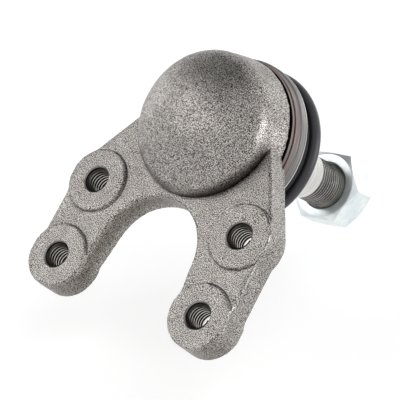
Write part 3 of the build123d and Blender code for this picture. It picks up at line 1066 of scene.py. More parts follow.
def ride(piece: bpy.types.Object, body: Body, finishes: Finish | Sequence[Finish],
         *nodes: str) -> None:
    """Coats a finished piece and hands it to its body.

    Args:
        piece: The piece, with its place in its mesh.
        body: The body that it rides on.
        finishes: Its material, or its main material and those of its marked faces.
        *nodes: The frame's nodes that it stands for.
    """
    finish, *others = [finishes] if isinstance(finishes, Finish) else finishes
    finish.coat(piece, *others)
    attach(piece, body.value)
    if nodes:
        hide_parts(*nodes)
    log.info("%s: %d faces, rides on %s", piece.name, len(piece.data.polygons), body.value)


# ---------------------------------------------------------------- sub-assemblies


@dataclass
class Forging:
    """The forged housing: fork plate, bosses and cup, with machined holes, bore and spigot.

    The ridges of the tapped holes stand a little deeper than on the real thread, and their
    crests are wider, so that they show.
    """

    boss_x: float = 34.75
    boss_y: float = 15.75
    boss_radius: float = 12.4
    boss_height: float = 1.2
    depth: float = 12.5
    leg_outer_x: float = 46.0
    arch_radius: float = 21.0
    arch_y: float = -1.6
    arch_steps: int = 64
    fork_draft: float = 8.0
    shoulder_angle: float = 31.3
    # How far the shoulders run on past the cup's axis.
    shoulder_reach: float = 3.0
    groove_foot: float = 0.2
    groove_edge: float = 1.4
    groove_slant: float = 0.9
    groove_depth: float = 0.1
    groove_steps: int = 96
    rim_radius: float = 29.3
    rim_height: float = -8.9
    wall_draft: float = 7.7
    crown_radius: float = 44.0
    crown_height: float = 16.5
    crown_shoulder: float = 8.4
    crown_steps: int = 40
    # Points of the crown's arc that stay inside the rounding to the wall.
    crown_kept: int = 32
    shoulder_steps: int = 14
    relief_radius: float = 31.3
    rim_burr: float = 0.7
    burr_size: float = 1.5
    burr_rings: tuple[float, ...] = (28.4, 29.0, 29.6)
    burr_steps: int = 240
    spigot_radius: float = 26.0
    spigot_root: float = 0.9
    spigot_end_radius: float = 24.8
    spigot_end_round: float = 1.5
    spigot_step: float = -19.6
    spigot_end: float = -26.5
    bore_radius: float = 21.5
    cone_end: float = 2.5
    pocket_radius: float = 12.5
    pocket_start: float = 9.6
    pocket_top: float = 11.2
    lip_radius: float = 20.3
    lip_height: float = 1.5
    hole_radius: float = 5.0
    hole_steps: int = 64
    mouth_radius: float = 5.45
    exit_flare: float = 0.4
    thread_pitch: float = 1.5
    thread_turns: float = 7.0
    thread_start: float = 0.05
    ridge_depth: float = 1.0
    ridge_sink: float = 0.06
    ridge_shares: tuple[float, float, float] = (0.36, 0.60, 0.94)
    # How far cutters reach past what they cut.
    over: float = 1.0
    cutter_end: float = -60.0
    voxel: float = 0.55
    plate_passes: int = 8
    cup_passes: int = 6
    smooth_angle: float = 40.0
    # Size of the clouds and height of the push of each unevenness of the skin.
    waves: tuple[tuple[str, float, float], ...] = (
        ("Die waves", 9.0, 0.30),
        ("Scale marks", 2.6, 0.09),
        ("Shot dimples", 1.1, 0.05),
    )
    # Bounds by which faces are told apart: distances, and parts of their normals along Z.
    wall_margin: float = 0.02
    bore_margin: float = 0.05
    mouth_margin: float = 0.15
    mouth_depth: float = 1.0
    rim_margin: float = 0.4
    upright_slope: float = 0.3
    mouth_slope: float = 0.9
    under_slope: float = -0.5

    @property
    def boss_places(self) -> list[Point]:
        """Centres of the four bosses."""
        return [(x, y) for x in (-self.boss_x, self.boss_x) for y in (-self.boss_y, self.boss_y)]

    def wall(self, height: float) -> float:
        """Radius of the cup's draft wall at a height."""
        rise = height - self.rim_height
        return self.rim_radius - rise * math.tan(math.radians(self.wall_draft))

    def outline(self) -> list[Point]:
        """Outline of legs and shoulders, before the fork is cut.

        Returns:
            The corners, anticlockwise from the right leg's end.
        """
        turn = math.radians(self.shoulder_angle)
        touch = (self.boss_x + self.boss_radius * math.cos(turn),
                 self.boss_y + self.boss_radius * math.sin(turn))
        end_y = AXIS.centre_y + self.shoulder_reach
        end_x = touch[0] - (end_y - touch[1]) * math.tan(turn)
        right = [(self.leg_outer_x, -self.boss_y), (self.leg_outer_x, self.boss_y), touch,
                 (end_x, end_y)]
        left = [(-x, y) for x, y in reversed(right)]
        return right + left

    def fork_outline(self) -> list[Point]:
        """Outline of the fork: a round arch whose sides open towards the leg ends.

        Returns:
            The points of the opening.
        """
        draft = self.fork_draft
        top = arc((0, self.arch_y), self.arch_radius, draft, 180 - draft, self.arch_steps)
        low_y = -self.boss_y - self.boss_radius
        spread = (top[0][1] - low_y) * math.tan(math.radians(draft))
        return [(top[0][0] + spread, low_y), *top, (top[-1][0] - spread, low_y)]

    def cup_profile(self) -> list[Point]:
        """Section of the solid cup, from the crown down to the rim.

        Returns:
            The (radius, height) points round the cup axis.
        """
        centre = self.crown_height - self.crown_radius
        slope = math.tan(math.radians(self.wall_draft))
        base = self.wall(centre)
        # The crown's arc meets the draft wall where a quadratic in the rise has its root.
        root = math.sqrt(self.crown_radius**2 * (1 + slope**2) - base**2)
        rise = (base * slope + root) / (1 + slope**2)
        meet = (self.wall(centre + rise), centre + rise)
        edge = math.degrees(math.atan2(meet[1] - centre, meet[0]))
        crown = arc((0, centre), self.crown_radius, 90, edge, self.crown_steps)
        crown[0] = (0.0, self.crown_height)
        corners = [*crown[:self.crown_kept], meet, (self.rim_radius, self.rim_height),
                   (0, self.rim_height)]
        return rounded(corners, {self.crown_kept: self.crown_shoulder}, self.shoulder_steps)

    def skin(self, piece: bpy.types.Object, passes: int) -> bpy.types.Object:
        """Turns hard-edged solids into one forged skin with soft edges.

        Args:
            piece: The joined solids.
            passes: Smoothing passes, more for larger radii.

        Returns:
            The same object with its new mesh.
        """
        remesh = piece.modifiers.new("Skin", "REMESH")
        remesh.mode = "VOXEL"
        remesh.voxel_size = self.voxel * MM
        Bench.apply(piece, remesh)
        soften = piece.modifiers.new("Forging radii", "SMOOTH")
        soften.factor = 0.5
        soften.iterations = passes
        Bench.apply(piece, soften)
        self.weather(piece)
        return piece

    def blank(self) -> bpy.types.Object:
        """The raw forging: plate with bosses, and the cup set on it with a tight corner.

        Returns:
            The forging before it is machined.
        """
        plate = Bench.prism("plate", self.outline(), -self.depth, -self.boss_height)
        Bench.cut(plate, Bench.prism("fork", self.fork_outline(), -2 * self.depth, self.depth))
        bosses = [Bench.cylinder("boss", self.boss_radius, -self.depth, 0, at)
                  for at in self.boss_places]
        blank = self.skin(Bench.join("housing_forging", [plate, *bosses]), self.plate_passes)
        Bench.cut(blank, self.grooves())
        cup = Bench.turn("cup", self.cup_profile(), closed=False)
        Bench.place(cup, AXIS.matrix)
        Bench.cut(blank, self.skin(cup, self.cup_passes), Combine.ADD)
        return blank

    def grooves(self) -> bpy.types.Object:
        """The sharp foot round each boss, wherever the boss stands over the plate.

        Returns:
            A cutter for all four.
        """
        foot = self.boss_radius + self.groove_foot
        edge = self.boss_radius + self.groove_edge
        rings = []
        for at in self.boss_places:
            ring = Bench.turn("groove", [
                (foot - self.groove_slant, self.over),
                (foot, -self.boss_height - self.groove_depth),
                (edge, -self.boss_height + self.groove_depth), (edge, self.over)],
                self.groove_steps)
            Bench.place(ring, Bench.upright(at))
            rings.append(ring)
        grooves = Bench.join("grooves", rings)
        over = Bench.prism("over", self.outline(), -self.depth, self.depth)
        Bench.cut(over, Bench.prism("fork", self.fork_outline(), -2 * self.depth, 2 * self.depth))
        Bench.cut(grooves, over, Combine.KEEP)
        return grooves

    def weather(self, blank: bpy.types.Object) -> None:
        """Gives the skin its unevenness: slow waves from the die and fine shot dimples."""
        for label, size, push in self.waves:
            Bench.ruffle(blank, label, size, push)

    def machine(self, blank: bpy.types.Object) -> None:
        """Cuts the bore, the relief round the ring and the four holes with sharp edges.

        Args:
            blank: The raw forging.
        """
        deep = self.cutter_end
        bore = Bench.turn("bore", [
            (0, self.pocket_top), (self.pocket_radius, self.pocket_top),
            (self.pocket_radius, self.pocket_start), (self.bore_radius, self.cone_end),
            (self.bore_radius, deep), (0, deep)], closed=False)
        Bench.place(bore, AXIS.matrix)
        Bench.cut(blank, bore)
        # The rings near the rim give the burr its points.
        relief = Bench.turn("relief", [
            *((radius, self.rim_height) for radius in (0, *self.burr_rings, self.relief_radius)),
            (self.relief_radius, deep), (0, deep)], self.burr_steps, closed=False)
        Bench.ruffle(relief, "Shear marks", self.burr_size, self.rim_burr)
        Bench.place(relief, AXIS.matrix)
        Bench.cut(blank, relief)
        flare = self.mouth_radius + self.over
        for at in self.boss_places:
            drill = Bench.turn("drill", [
                (0, self.over), (flare, self.over),
                (self.hole_radius, self.hole_radius - self.mouth_radius),
                (self.hole_radius, self.exit_flare - self.depth),
                (flare, -self.depth - self.over), (0, -self.depth - self.over)],
                self.hole_steps, closed=False)
            Bench.place(drill, Bench.upright(at))
            Bench.cut(blank, drill)

    def in_hole(self, centre: Vector, normal: Vector) -> bool:
        """Whether a face belongs to a hole's drilled wall."""
        inside = centre.xy.length < self.hole_radius + self.wall_margin
        return inside and abs(normal.z) < self.upright_slope

    def in_mouth(self, centre: Vector, normal: Vector) -> bool:
        """Whether a face belongs to a hole's countersunk mouth.

        Args:
            centre: The face's centre round the hole's axis, in millimetres.
            normal: Its normal there.

        Returns:
            True for a face of the mouth.
        """
        radius = centre.xy.length
        flare = self.hole_radius - self.wall_margin < radius < self.mouth_radius + self.mouth_margin
        slanted = self.upright_slope < normal.z < self.mouth_slope
        return flare and slanted and centre.z > -self.mouth_depth

    def is_thread_crest(self, centre: Vector, normal: Vector) -> bool:
        """Whether a face of a hole's thread lies on the ridge's crest."""
        return centre.xy.length < self.hole_radius - self.ridge_depth + self.bore_margin

    def is_turned(self, centre: Vector, normal: Vector) -> bool:
        """Whether a face was turned: the bore and the relief under the rim.

        Args:
            centre: The face's centre round the cup axis, in millimetres.
            normal: Its normal there.

        Returns:
            True for a turned face.
        """
        radius = centre.xy.length
        inward = normal.xy.dot(centre.xy) < 0 or normal.z < self.under_slope
        in_relief = (radius < self.relief_radius + self.rim_margin
                     and centre.z < self.rim_height + self.rim_margin)
        in_bore = (radius < self.bore_radius + self.bore_margin
                   and centre.z < self.pocket_top + self.bore_margin)
        return inward and (in_relief or in_bore)

    def spigot(self) -> bpy.types.Object:
        """The turned spigot under the rim, with its lip rolled in at the mouth.

        Returns:
            The spigot, in its place.
        """
        root = self.rim_height + self.spigot_root
        lip = self.spigot_end + self.lip_height
        profile = rounded([
            (self.bore_radius, root), (self.spigot_radius, root),
            (self.spigot_radius, self.spigot_step), (self.spigot_end_radius, self.spigot_step),
            (self.spigot_end_radius, self.spigot_end), (self.lip_radius, self.spigot_end),
            (self.lip_radius, lip), (self.bore_radius, lip)],
            {4: self.spigot_end_round})
        spigot = Bench.turn("housing_spigot", profile)
        Bench.place(spigot, AXIS.matrix)
        Bench.smooth(spigot)
        return spigot

    def thread(self, number: int, at: Point) -> bpy.types.Object:
        """The internal thread of one hole.

        Args:
            number: The hole's number.
            at: The hole's centre.

        Returns:
            The thread's ridge, just inside the hole's wall.
        """
        section = tooth(self.hole_radius + self.ridge_sink, self.hole_radius - self.ridge_depth,
                        self.thread_start - self.depth, self.thread_pitch, self.ridge_shares)
        ridge = Bench.coil(f"hole_thread_{number}", section, self.thread_pitch,
                           self.thread_turns, self.hole_steps)
        Bench.place(ridge, Bench.upright(at))
        Bench.mark(ridge, 1, Bench.upright(at), self.is_thread_crest)
        Bench.smooth(ridge, THREAD_ANGLE)
        return ridge

    def build(self) -> None:
        """Models and dresses the housing."""
        blank = self.blank()
        self.machine(blank)
        for at in self.boss_places:
            Bench.mark(blank, 1, Bench.upright(at), self.in_hole)
            Bench.mark(blank, 2, Bench.upright(at), self.in_mouth)
        Bench.mark(blank, 2, AXIS.matrix, self.is_turned)
        Bench.smooth(blank, self.smooth_angle)
        ride(blank, Body.HOUSING, (FORGING, TAPPED_HOLE_SHADE, BAND_STEEL), "housing")
        ride(self.spigot(), Body.HOUSING, BAND_STEEL)
        for number, at in enumerate(self.boss_places, 1):
            ride(self.thread(number, at), Body.HOUSING, (TAPPED_HOLE_SHADE, HOLE_RIDGE_HIGHLIGHT))


@dataclass
class BootClamp:
    """The flat-wire retaining ring and the turned band that hold the boot's bead."""

    bore: float = Forging.spigot_radius + PLAY
    ring_radius: float = 29.4
    ring_top: float = -10.0
    ring_bottom: float = -12.0
    seam_height: float = -11.7
    seam_width: float = 0.25
    seam_depth: float = 0.8
    seam_start: float = 42.0
    seam_sweep: float = 40.0
    band_top: float = -12.1
    band_step: float = -15.0
    band_end: float = -19.3
    upper_radius: float = 29.8
    lower_radius: float = 30.4
    skirt_bore: float = 28.4
    edge_highlight_width: float = 0.65
    flange: float = 1.3
    ring_round: float = 0.3
    band_top_round: float = 0.2
    band_step_round: float = 0.3
    band_end_round: float = 0.4
    round_steps: int = 4
    seam_steps: int = 40
    # How far the seam's cutter reaches past the ring.
    over: float = 1.0
    # Bounds by which faces are told apart.
    up_slope: float = 0.5
    seam_margin: float = 0.5
    edge_highlight_margin: float = 0.3

    def ring(self) -> bpy.types.Object:
        """The two-turn ring, with its seam standing open near the wire's end.

        Returns:
            The ring, in its place, with its hidden faces marked.
        """
        profile = rounded([
            (self.bore, self.ring_top), (self.ring_radius, self.ring_top),
            (self.ring_radius, self.ring_bottom), (self.bore, self.ring_bottom)],
            {1: self.ring_round, 2: self.ring_round}, self.round_steps)
        ring = Bench.turn("retaining_ring_wire", profile)
        low = self.seam_height - self.seam_width / 2
        high = self.seam_height + self.seam_width / 2
        inner, outer = self.ring_radius - self.seam_depth, self.ring_radius + self.over
        seam = Bench.turn("seam", [(inner, low), (outer, low), (outer, high), (inner, high)],
                          self.seam_steps, angle=math.radians(self.seam_sweep),
                          start=math.radians(self.seam_start))
        Bench.cut(ring, seam)
        Bench.place(ring, AXIS.matrix)
        Bench.mark(ring, 1, AXIS.matrix, self.is_covered)
        Bench.smooth(ring)
        return ring

    def is_covered(self, centre: Vector, normal: Vector) -> bool:
        """Whether a face lies in the gap under the rim or inside the seam, where shade is painted.
        """
        return normal.z > self.up_slope or centre.xy.length < self.ring_radius - self.seam_margin

    def band(self) -> bpy.types.Object:
        """The stepped steel band over the boot's bead.

        Returns:
            The band, in its place, with its painted highlight edge and its tinted half marked.
        """
        step = self.lower_radius - self.upper_radius
        profile = rounded([
            (self.bore, self.band_top), (self.upper_radius, self.band_top),
            (self.upper_radius, self.band_step), (self.lower_radius, self.band_step - step),
            (self.lower_radius, self.band_end + self.edge_highlight_width),
            (self.lower_radius, self.band_end), (self.skirt_bore, self.band_end),
            (self.skirt_bore, self.band_top - self.flange),
            (self.bore, self.band_top - self.flange)],
            {1: self.band_top_round, 2: self.band_step_round, 3: self.band_step_round,
             5: self.band_end_round}, self.round_steps)
        band = Bench.turn("boot_band", profile)
        Bench.place(band, AXIS.matrix)
        Bench.mark(band, 1, AXIS.matrix, self.is_edge_highlight)
        Bench.mark(band, 2, AXIS.matrix, self.is_tinted)
        Bench.smooth(band)
        return band

    def is_edge_highlight(self, centre: Vector, normal: Vector) -> bool:
        """Whether a face lies on the band's lower edge, where a highlight is painted."""
        edge = centre.z < self.band_end + self.edge_highlight_width
        return edge and centre.xy.length > self.lower_radius - self.edge_highlight_margin

    def is_tinted(self, centre: Vector, normal: Vector) -> bool:
        """Whether a face lies on the band's upper half, browned beside the ring."""
        return centre.z > self.band_step

    def build(self) -> None:
        """Models and dresses the ring and the band."""
        ride(self.ring(), Body.HOUSING, (WIRE_STEEL, RING_GAP_SHADE), "retaining_ring")
        ride(self.band(), Body.HOUSING, (BAND_STEEL, BAND_EDGE_HIGHLIGHT, TINTED_BAND), "boot_ring")


@dataclass
class BootSet:
    """The rubber boot and the wire ring on its small end."""

    bead_bore: float = BootClamp.bore
    bead_radius: float = 28.3
    bead_top: float = -13.5
    bead_lip: float = 0.3
    band_end: float = BootClamp.band_end
    wall: float = 1.8
    neck_radius: float = 26.3
    neck_top: float = -21.6
    neck_bottom: float = -24.6
    neck_wall: float = 1.0
    neck_top_round: float = 1.2
    neck_bottom_round: float = 0.8
    bend_start: float = -25.2
    bulge_radius: float = 30.4
    bulge_height: float = -28.2
    bulge_section: float = 2.6
    bulge_start: float = 100.0
    bulge_end: float = -75.0
    outer_steps: int = 24
    inner_steps: int = 18
    sleeve_bore: float = 11.6
    sleeve_radius: float = 15.2
    sleeve_top: float = -36.2
    sleeve_end: float = -41.0
    sleeve_top_round: float = 1.2
    sleeve_end_round: float = 0.6
    groove_radius: float = 14.4
    groove_height: float = -38.8
    groove_width: float = 2.0
    round_steps: int = 5
    turn_steps: int = 144
    smooth_angle: float = 45.0
    wire_radius: float = 0.8
    wire_gap: float = 0.1
    wire_sides: int = 16
    wire_steps: int = 96
    wire_smooth_angle: float = 60.0

    def boot(self) -> bpy.types.Object:
        """The bellows: bead, waist, one full bulge, a lower wall and a sleeve.

        Returns:
            The boot, in its place.
        """
        centre = (self.bulge_radius - self.bulge_section, self.bulge_height)
        outer = arc(centre, self.bulge_section, self.bulge_start, self.bulge_end,
                    self.outer_steps)
        inner = arc(centre, self.bulge_section - self.wall, self.bulge_end, self.bulge_start,
                    self.inner_steps)
        half = self.groove_width / 2
        corners = [
            (self.bead_bore, self.bead_top), (self.bead_radius, self.bead_top),
            (self.bead_radius, self.band_end), (self.neck_radius, self.neck_top),
            (self.neck_radius, self.neck_bottom), *outer,
            (self.sleeve_radius, self.sleeve_top), (self.sleeve_radius, self.groove_height + half),
            (self.groove_radius, self.groove_height + half),
            (self.groove_radius, self.groove_height - half),
            (self.sleeve_radius, self.groove_height - half), (self.sleeve_radius, self.sleeve_end),
            (self.sleeve_bore, self.sleeve_end), (self.sleeve_bore, self.sleeve_top),
            (self.sleeve_bore + self.wall, self.sleeve_top + self.wall), *inner,
            (self.neck_radius - self.neck_wall, self.neck_bottom - self.neck_wall),
            (self.neck_radius - self.neck_wall, self.neck_top),
            (self.bead_bore, self.band_end - self.bead_lip)]
        sleeve = 5 + len(outer)
        profile = rounded(corners, {
            3: self.neck_top_round, 4: self.neck_bottom_round,
            sleeve: self.sleeve_top_round, sleeve + 5: self.sleeve_end_round}, self.round_steps)
        boot = Bench.turn("dust_boot_rubber", profile, self.turn_steps)
        Bench.place(boot, AXIS.matrix)
        Bench.smooth(boot, self.smooth_angle)
        return boot

    def lip_ring(self) -> bpy.types.Object:
        """The wire ring in the sleeve's groove.

        Returns:
            The ring, in its place.
        """
        centre = (self.groove_radius + self.wire_radius + self.wire_gap, self.groove_height)
        last = 360 * (1 - 1 / self.wire_sides)
        section = arc(centre, self.wire_radius, 0, last, self.wire_sides - 1)
        ring = Bench.turn("lip_ring_wire", section, self.wire_steps)
        Bench.place(ring, AXIS.matrix)
        Bench.smooth(ring, self.wire_smooth_angle)
        return ring

    def build(self) -> None:
        """Models and dresses the boot and its ring."""
        boot = self.boot()
        RUBBER.coat(boot)
        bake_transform(boot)
        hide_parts("dust_boot")
        log.info("%s: %d faces, bends between seat and swing", boot.name, len(boot.data.polygons))
        ride(self.lip_ring(), Body.SWING, SPRING_STEEL, "boot_lip_ring")


@dataclass
class StudSet:
    """The ball stud with its rolled thread, and the hex nut."""

    ball_radius: float = 17.5
    ball_height: float = -10.0
    ball_steps: int = 40
    flat_radius: float = 4.0
    neck_radius: float = 8.5
    neck_round: float = 1.5
    neck_end: float = -28.5
    neck_end_round: float = 3.0
    collar_radius: float = 11.5
    collar_top: float = -35.5
    collar_top_round: float = 1.0
    collar_end_round: float = 0.4
    taper_top: float = -41.5
    taper_end: float = -68.0
    taper_small: float = 9.55
    # Length of the taper in which its radius grows by one millimetre: 1:8 on the diameter.
    taper_run: float = 16.0
    taper_end_round: float = 0.4
    thread_radius: float = 9.0
    thread_depth: float = 0.92
    thread_top: float = -69.0
    thread_top_round: float = 0.3
    thread_steps: int = 72
    pitch: float = 1.5
    ridge_start: float = 1.0
    ridge_sink: float = 0.05
    ridge_shares: tuple[float, float, float] = (0.40, 0.53, 0.93)
    crest_depth: float = 0.32
    point_height: float = 0.6
    point_depth: float = 0.8
    end: float = -103.5
    round_steps: int = 5
    turn_steps: int = 144
    flats: float = 27.0
    nut_top: float = -85.0
    nut_height: float = 14.8
    nut_face: float = 12.9
    nut_face_slope: float = 30.0
    nut_end_face: float = 12.0
    nut_end_slope: float = 45.0
    nut_turn: float = 8.6
    nut_gap: float = 0.05
    nut_edge: float = 0.25
    nut_edge_angle: float = 28.0
    nut_steps: int = 192
    mouth_radius: float = 9.9
    # How far the chamfering shape stands outside the nut's corners.
    over: float = 0.1

    def stud(self) -> bpy.types.Object:
        """The stud: ball, neck, collar, taper and the thread's core.

        Returns:
            The stud, in its place, with the thread's core marked.
        """
        last = math.degrees(math.asin(self.neck_radius / self.ball_radius)) - 90
        first = 90 - math.degrees(math.asin(self.flat_radius / self.ball_radius))
        ball = arc((0, self.ball_height), self.ball_radius, first, last, self.ball_steps)
        core = self.thread_radius - self.thread_depth
        taper_large = self.taper_small + (self.taper_top - self.taper_end) / self.taper_run
        corners = [
            (0, ball[0][1]), *ball, (self.neck_radius, self.neck_end),
            (self.collar_radius, self.collar_top), (self.collar_radius, self.taper_top),
            (taper_large, self.taper_top), (self.taper_small, self.taper_end),
            (core, self.thread_top), (core, self.end + self.point_height),
            (core - self.point_depth, self.end), (0, self.end)]
        neck = len(ball)
        profile = rounded(corners, {
            neck: self.neck_round, neck + 1: self.neck_end_round,
            neck + 2: self.collar_top_round, neck + 3: self.collar_end_round,
            neck + 5: self.taper_end_round, neck + 6: self.thread_top_round}, self.round_steps)
        stud = Bench.turn("ball_stud_shank", profile, self.turn_steps, closed=False)
        Bench.place(stud, AXIS.matrix)
        Bench.mark(stud, 1, AXIS.matrix, self.is_root)
        Bench.smooth(stud)
        return stud

    def is_root(self, centre: Vector, normal: Vector) -> bool:
        """Whether a face is the thread's core."""
        return self.end + self.ridge_start < centre.z < self.thread_top

    def is_crest(self, centre: Vector, normal: Vector) -> bool:
        """Whether a face is the rolled crest of the thread."""
        return centre.xy.length > self.thread_radius - self.crest_depth

    def thread(self) -> bpy.types.Object:
        """The stud's rolled thread.

        Returns:
            The ridge, in its place, with its crest marked.
        """
        core = self.thread_radius - self.thread_depth - self.ridge_sink
        low = self.end + self.ridge_start
        section = tooth(core, self.thread_radius, low, self.pitch, self.ridge_shares)
        turns = (self.thread_top - low - self.pitch) / self.pitch
        ridge = Bench.coil("ball_stud_thread", section, self.pitch, turns, self.thread_steps)
        Bench.place(ridge, AXIS.matrix)
        Bench.mark(ridge, 1, AXIS.matrix, self.is_crest)
        Bench.smooth(ridge, THREAD_ANGLE)
        return ridge

    def nut(self) -> bpy.types.Object:
        """The hex nut: both faces chamfered, the far one more, edges slightly rounded.

        Returns:
            The nut, in its place.
        """
        low = self.nut_top - self.nut_height
        corner = self.flats / math.sqrt(3)
        sides = 6
        nut = Bench.cylinder("stud_nut_hex", corner, low, self.nut_top, (0, 0), sides)
        # A corner lies half a side away from the direction that the nut is turned to.
        half_side = 180 / sides
        Bench.place(nut, Matrix.Rotation(math.radians(self.nut_turn - half_side), 4, "Z"))
        bound = corner + self.over
        drop = (bound - self.nut_face) * math.tan(math.radians(self.nut_face_slope))
        rise = (bound - self.nut_end_face) * math.tan(math.radians(self.nut_end_slope))
        bore = self.thread_radius + self.nut_gap
        flare = self.mouth_radius - bore
        chamfer = Bench.turn("chamfer", [
            (self.mouth_radius, self.nut_top), (self.nut_face, self.nut_top),
            (bound, self.nut_top - drop), (bound, low + rise), (self.nut_end_face, low),
            (self.mouth_radius, low), (bore, low + flare), (bore, self.nut_top - flare)],
            self.nut_steps)
        Bench.cut(nut, chamfer, Combine.KEEP)
        Bench.bevel(nut, self.nut_edge, self.nut_edge_angle)
        Bench.place(nut, AXIS.matrix)
        Bench.smooth(nut, self.nut_edge_angle)
        return nut

    def build(self) -> None:
        """Models and dresses the stud, its thread and the nut."""
        ride(self.stud(), Body.STUD, (GROUND_STEEL, STUD_ROOT_SHADE), "ball_stud")
        ride(self.thread(), Body.STUD, (THREAD_FLANK, STUD_RIDGE_HIGHLIGHT))
        ride(self.nut(), Body.STUD, ZINC, "stud_nut")


@dataclass
class InnerPieces:
    """The pieces inside the cup, which keep the frame's own shapes."""

    finishes: tuple[tuple[str, Finish], ...] = (
        ("upper_ball_seat", ACETAL),
        ("lower_ball_seat", ACETAL),
        ("preload_spring", SPRING_STEEL),
        ("closing_plate", PLATE_STEEL),
    )

    def build(self, frame: dict) -> None:
        """Gives each inner node its material.
        """
        for node, finish in self.finishes:
            material = finish.build()
            for slot in frame["nodes"][node].material_slots:
                slot.material = material
            log.info("%s: %s", node, finish.title)


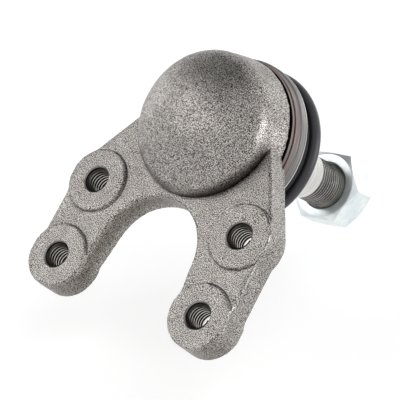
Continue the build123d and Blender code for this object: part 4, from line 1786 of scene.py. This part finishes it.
@dataclass
class Studio:
    """Floor, light and camera.

    The joint is held over a softly lit white table, as far as the stud needs for its full
    swing. Walls and lamps light it from all sides and the ceiling is dark.

    Attributes:
        camera_place: The camera's place in millimetres.
        upward: The table's normal, with sideways and forward the table's own axes.
        ceiling: The middle of the dark ceiling, which starts and ends at two cosines from it.
        floor_gap: Distance in millimetres from the table to the joint's lowest point at rest.
        floor_lift: Glow that only the camera sees, over floor_glow, which all rays see.
        lamps: Elevation and azimuth of each lamp in the table's axes, in degrees, and power.
        lamp_aim: The point in millimetres that all the lamps face.
    """

    camera_place: tuple[float, float, float] = (422.11, -82.51, 540.79)
    azimuth: float = 75.62
    elevation: float = 51.97
    roll: float = -50.78
    focal_length: float = 173.37
    sensor_width: float = 36.0
    near_clip: float = 10.0
    upward: tuple[float, float, float] = (0.0, 0.745, 0.667)
    ceiling: tuple[float, float, float] = (-0.4045, 0.6527, 0.6404)
    sideways: tuple[float, float, float] = (0.7557, 0.4367, -0.4878)
    forward: tuple[float, float, float] = (0.6547, -0.5041, 0.5631)
    wall_strength: float = 0.91
    wall_cosine: float = 0.80
    ceiling_strength: float = 0.13
    ceiling_cosine: float = 0.90
    floor_size: float = 6.0
    floor_gap: float = 20.0
    floor_shade: float = 0.72
    floor_glow: float = 0.39
    floor_lift: float = 0.03
    lamp_aim: tuple[float, float, float] = (0.0, 30.0, 0.0)
    lamp_distance: float = 2.0
    lamp_size: float = 1.0
    lamps: tuple[tuple[float, float, float], ...] = (
        (37.0, -92.0, 4.3),
        (37.0, -60.0, 2.9),
        (10.0, 75.0, 14.4),
        (10.0, 130.0, 2.9),
        (10.0, -130.0, 3.2),
    )

    def camera(self) -> None:
        """Places the camera by its azimuth, elevation and roll."""
        data = bpy.data.cameras.new("camera")
        data.sensor_width = self.sensor_width
        data.lens = self.focal_length
        data.clip_start = self.near_clip * MM
        camera = bpy.data.objects.new("camera", data)
        bpy.context.scene.collection.objects.link(camera)
        turn = Matrix.Rotation(math.radians(self.azimuth), 4, "Z")
        tilt = Matrix.Rotation(math.radians(90 - self.elevation), 4, "X")
        roll = Matrix.Rotation(math.radians(self.roll), 4, "Z")
        place = Matrix.Translation(Vector(self.camera_place) * MM)
        camera.matrix_world = place @ turn @ tilt @ roll
        bpy.context.scene.camera = camera

    def rest_level(self) -> float:
        """Height of the joint's lowest point at rest, along the table's normal."""
        up = Vector(self.upward)
        return min(up.dot(vertex.co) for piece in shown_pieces() for vertex in piece.data.vertices)

    def floor(self) -> None:
        """The table: white paper that keeps the joint's shadow, open when seen from below."""
        up = Vector(self.upward).normalized()
        level = self.rest_level() - self.floor_gap * MM
        Bench.clear()
        bpy.ops.mesh.primitive_plane_add(size=self.floor_size)
        floor = Bench.name("floor")
        place = Matrix.Translation(up * level)
        Bench.place(floor, place @ up.to_track_quat("Z", "Y").to_matrix().to_4x4())
        material = bpy.data.materials.new("white_paper")
        material.use_nodes = True
        tree = material.node_tree
        tree.nodes.clear()
        paper = add_node(tree, "ShaderNodeBsdfDiffuse", {"Color": grey(self.floor_shade)})
        path = add_node(tree, "ShaderNodeLightPath")
        glow = add_node(tree, "ShaderNodeMath", {
            "operation": "MULTIPLY_ADD", 1: self.floor_lift, 2: self.floor_glow},
            {0: path.outputs["Is Camera Ray"]})
        light = add_node(tree, "ShaderNodeEmission", {"Color": linear(WHITE)},
                         {"Strength": glow.outputs[0]})
        shown = add_node(tree, "ShaderNodeAddShader", links={
            0: paper.outputs[0], 1: light.outputs[0]})
        side = add_node(tree, "ShaderNodeNewGeometry")
        below = add_node(tree, "ShaderNodeMath", {"operation": "MULTIPLY"}, {
            0: side.outputs["Backfacing"], 1: path.outputs["Is Camera Ray"]})
        clear = add_node(tree, "ShaderNodeBsdfTransparent")
        cut = add_node(tree, "ShaderNodeMixShader", links={
            0: below.outputs[0], 1: shown.outputs[0], 2: clear.outputs[0]})
        add_node(tree, "ShaderNodeOutputMaterial", links={"Surface": cut.outputs[0]})
        floor.data.materials.append(material)
        floor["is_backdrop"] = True

    def world(self) -> None:
        """Soft walls all round under a dark ceiling; the camera sees plain white."""
        world = bpy.data.worlds.new("studio")
        bpy.context.scene.world = world
        world.use_nodes = True
        tree = world.node_tree
        tree.nodes.clear()
        coords = add_node(tree, "ShaderNodeTexCoord").outputs["Generated"]
        above = add_node(tree, "ShaderNodeVectorMath", {
            "operation": "DOT_PRODUCT", 1: self.ceiling}, {0: coords})
        tone = add_node(tree, RAMP, links={0: above.outputs["Value"]}, stops=(
            (self.wall_cosine, grey(self.wall_strength)),
            (self.ceiling_cosine, grey(self.ceiling_strength))))
        path = add_node(tree, "ShaderNodeLightPath")
        seen = add_node(tree, "ShaderNodeMath", {"operation": "MAXIMUM"}, {
            0: path.outputs["Is Camera Ray"], 1: path.outputs["Is Transmission Ray"]})
        mixed = add_node(tree, "ShaderNodeMix", {"data_type": "RGBA", 7: linear(WHITE)},
                         {0: seen.outputs[0], 6: tone.outputs[0]})
        light = add_node(tree, "ShaderNodeBackground", links={"Color": mixed.outputs[2]})
        add_node(tree, "ShaderNodeOutputWorld", links={"Surface": light.outputs[0]})

    def light(self) -> None:
        """Soft square lamps, each turned to the joint."""
        up, side, ahead = (Vector(v) for v in (self.upward, self.sideways, self.forward))
        for number, (elevation, azimuth, power) in enumerate(self.lamps, 1):
            data = bpy.data.lights.new(f"softbox_{number}", "AREA")
            data.energy = power
            data.size = self.lamp_size
            lamp = bpy.data.objects.new(data.name, data)
            bpy.context.scene.collection.objects.link(lamp)
            rise, turn = math.radians(elevation), math.radians(azimuth)
            level = ahead * math.cos(turn) + side * math.sin(turn)
            towards = (up * math.sin(rise) + level * math.cos(rise)).normalized()
            place = Matrix.Translation(Vector(self.lamp_aim) * MM + towards * self.lamp_distance)
            lamp.matrix_world = place @ towards.to_track_quat("Z", "Y").to_matrix().to_4x4()

    def build(self) -> None:
        """Sets the whole studio."""
        self.floor()
        self.world()
        self.light()
        self.camera()
        bpy.context.scene.view_settings.view_transform = "Standard"


def main() -> None:
    """Loads the frame and builds each sub-assembly round it."""
    logging.basicConfig(level=logging.INFO, format="%(name)s %(message)s")
    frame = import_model()
    Forging().build()
    BootClamp().build()
    BootSet().build()
    StudSet().build()
    InnerPieces().build(frame)
    Studio().build()


if __name__ == "__main__":
    main()
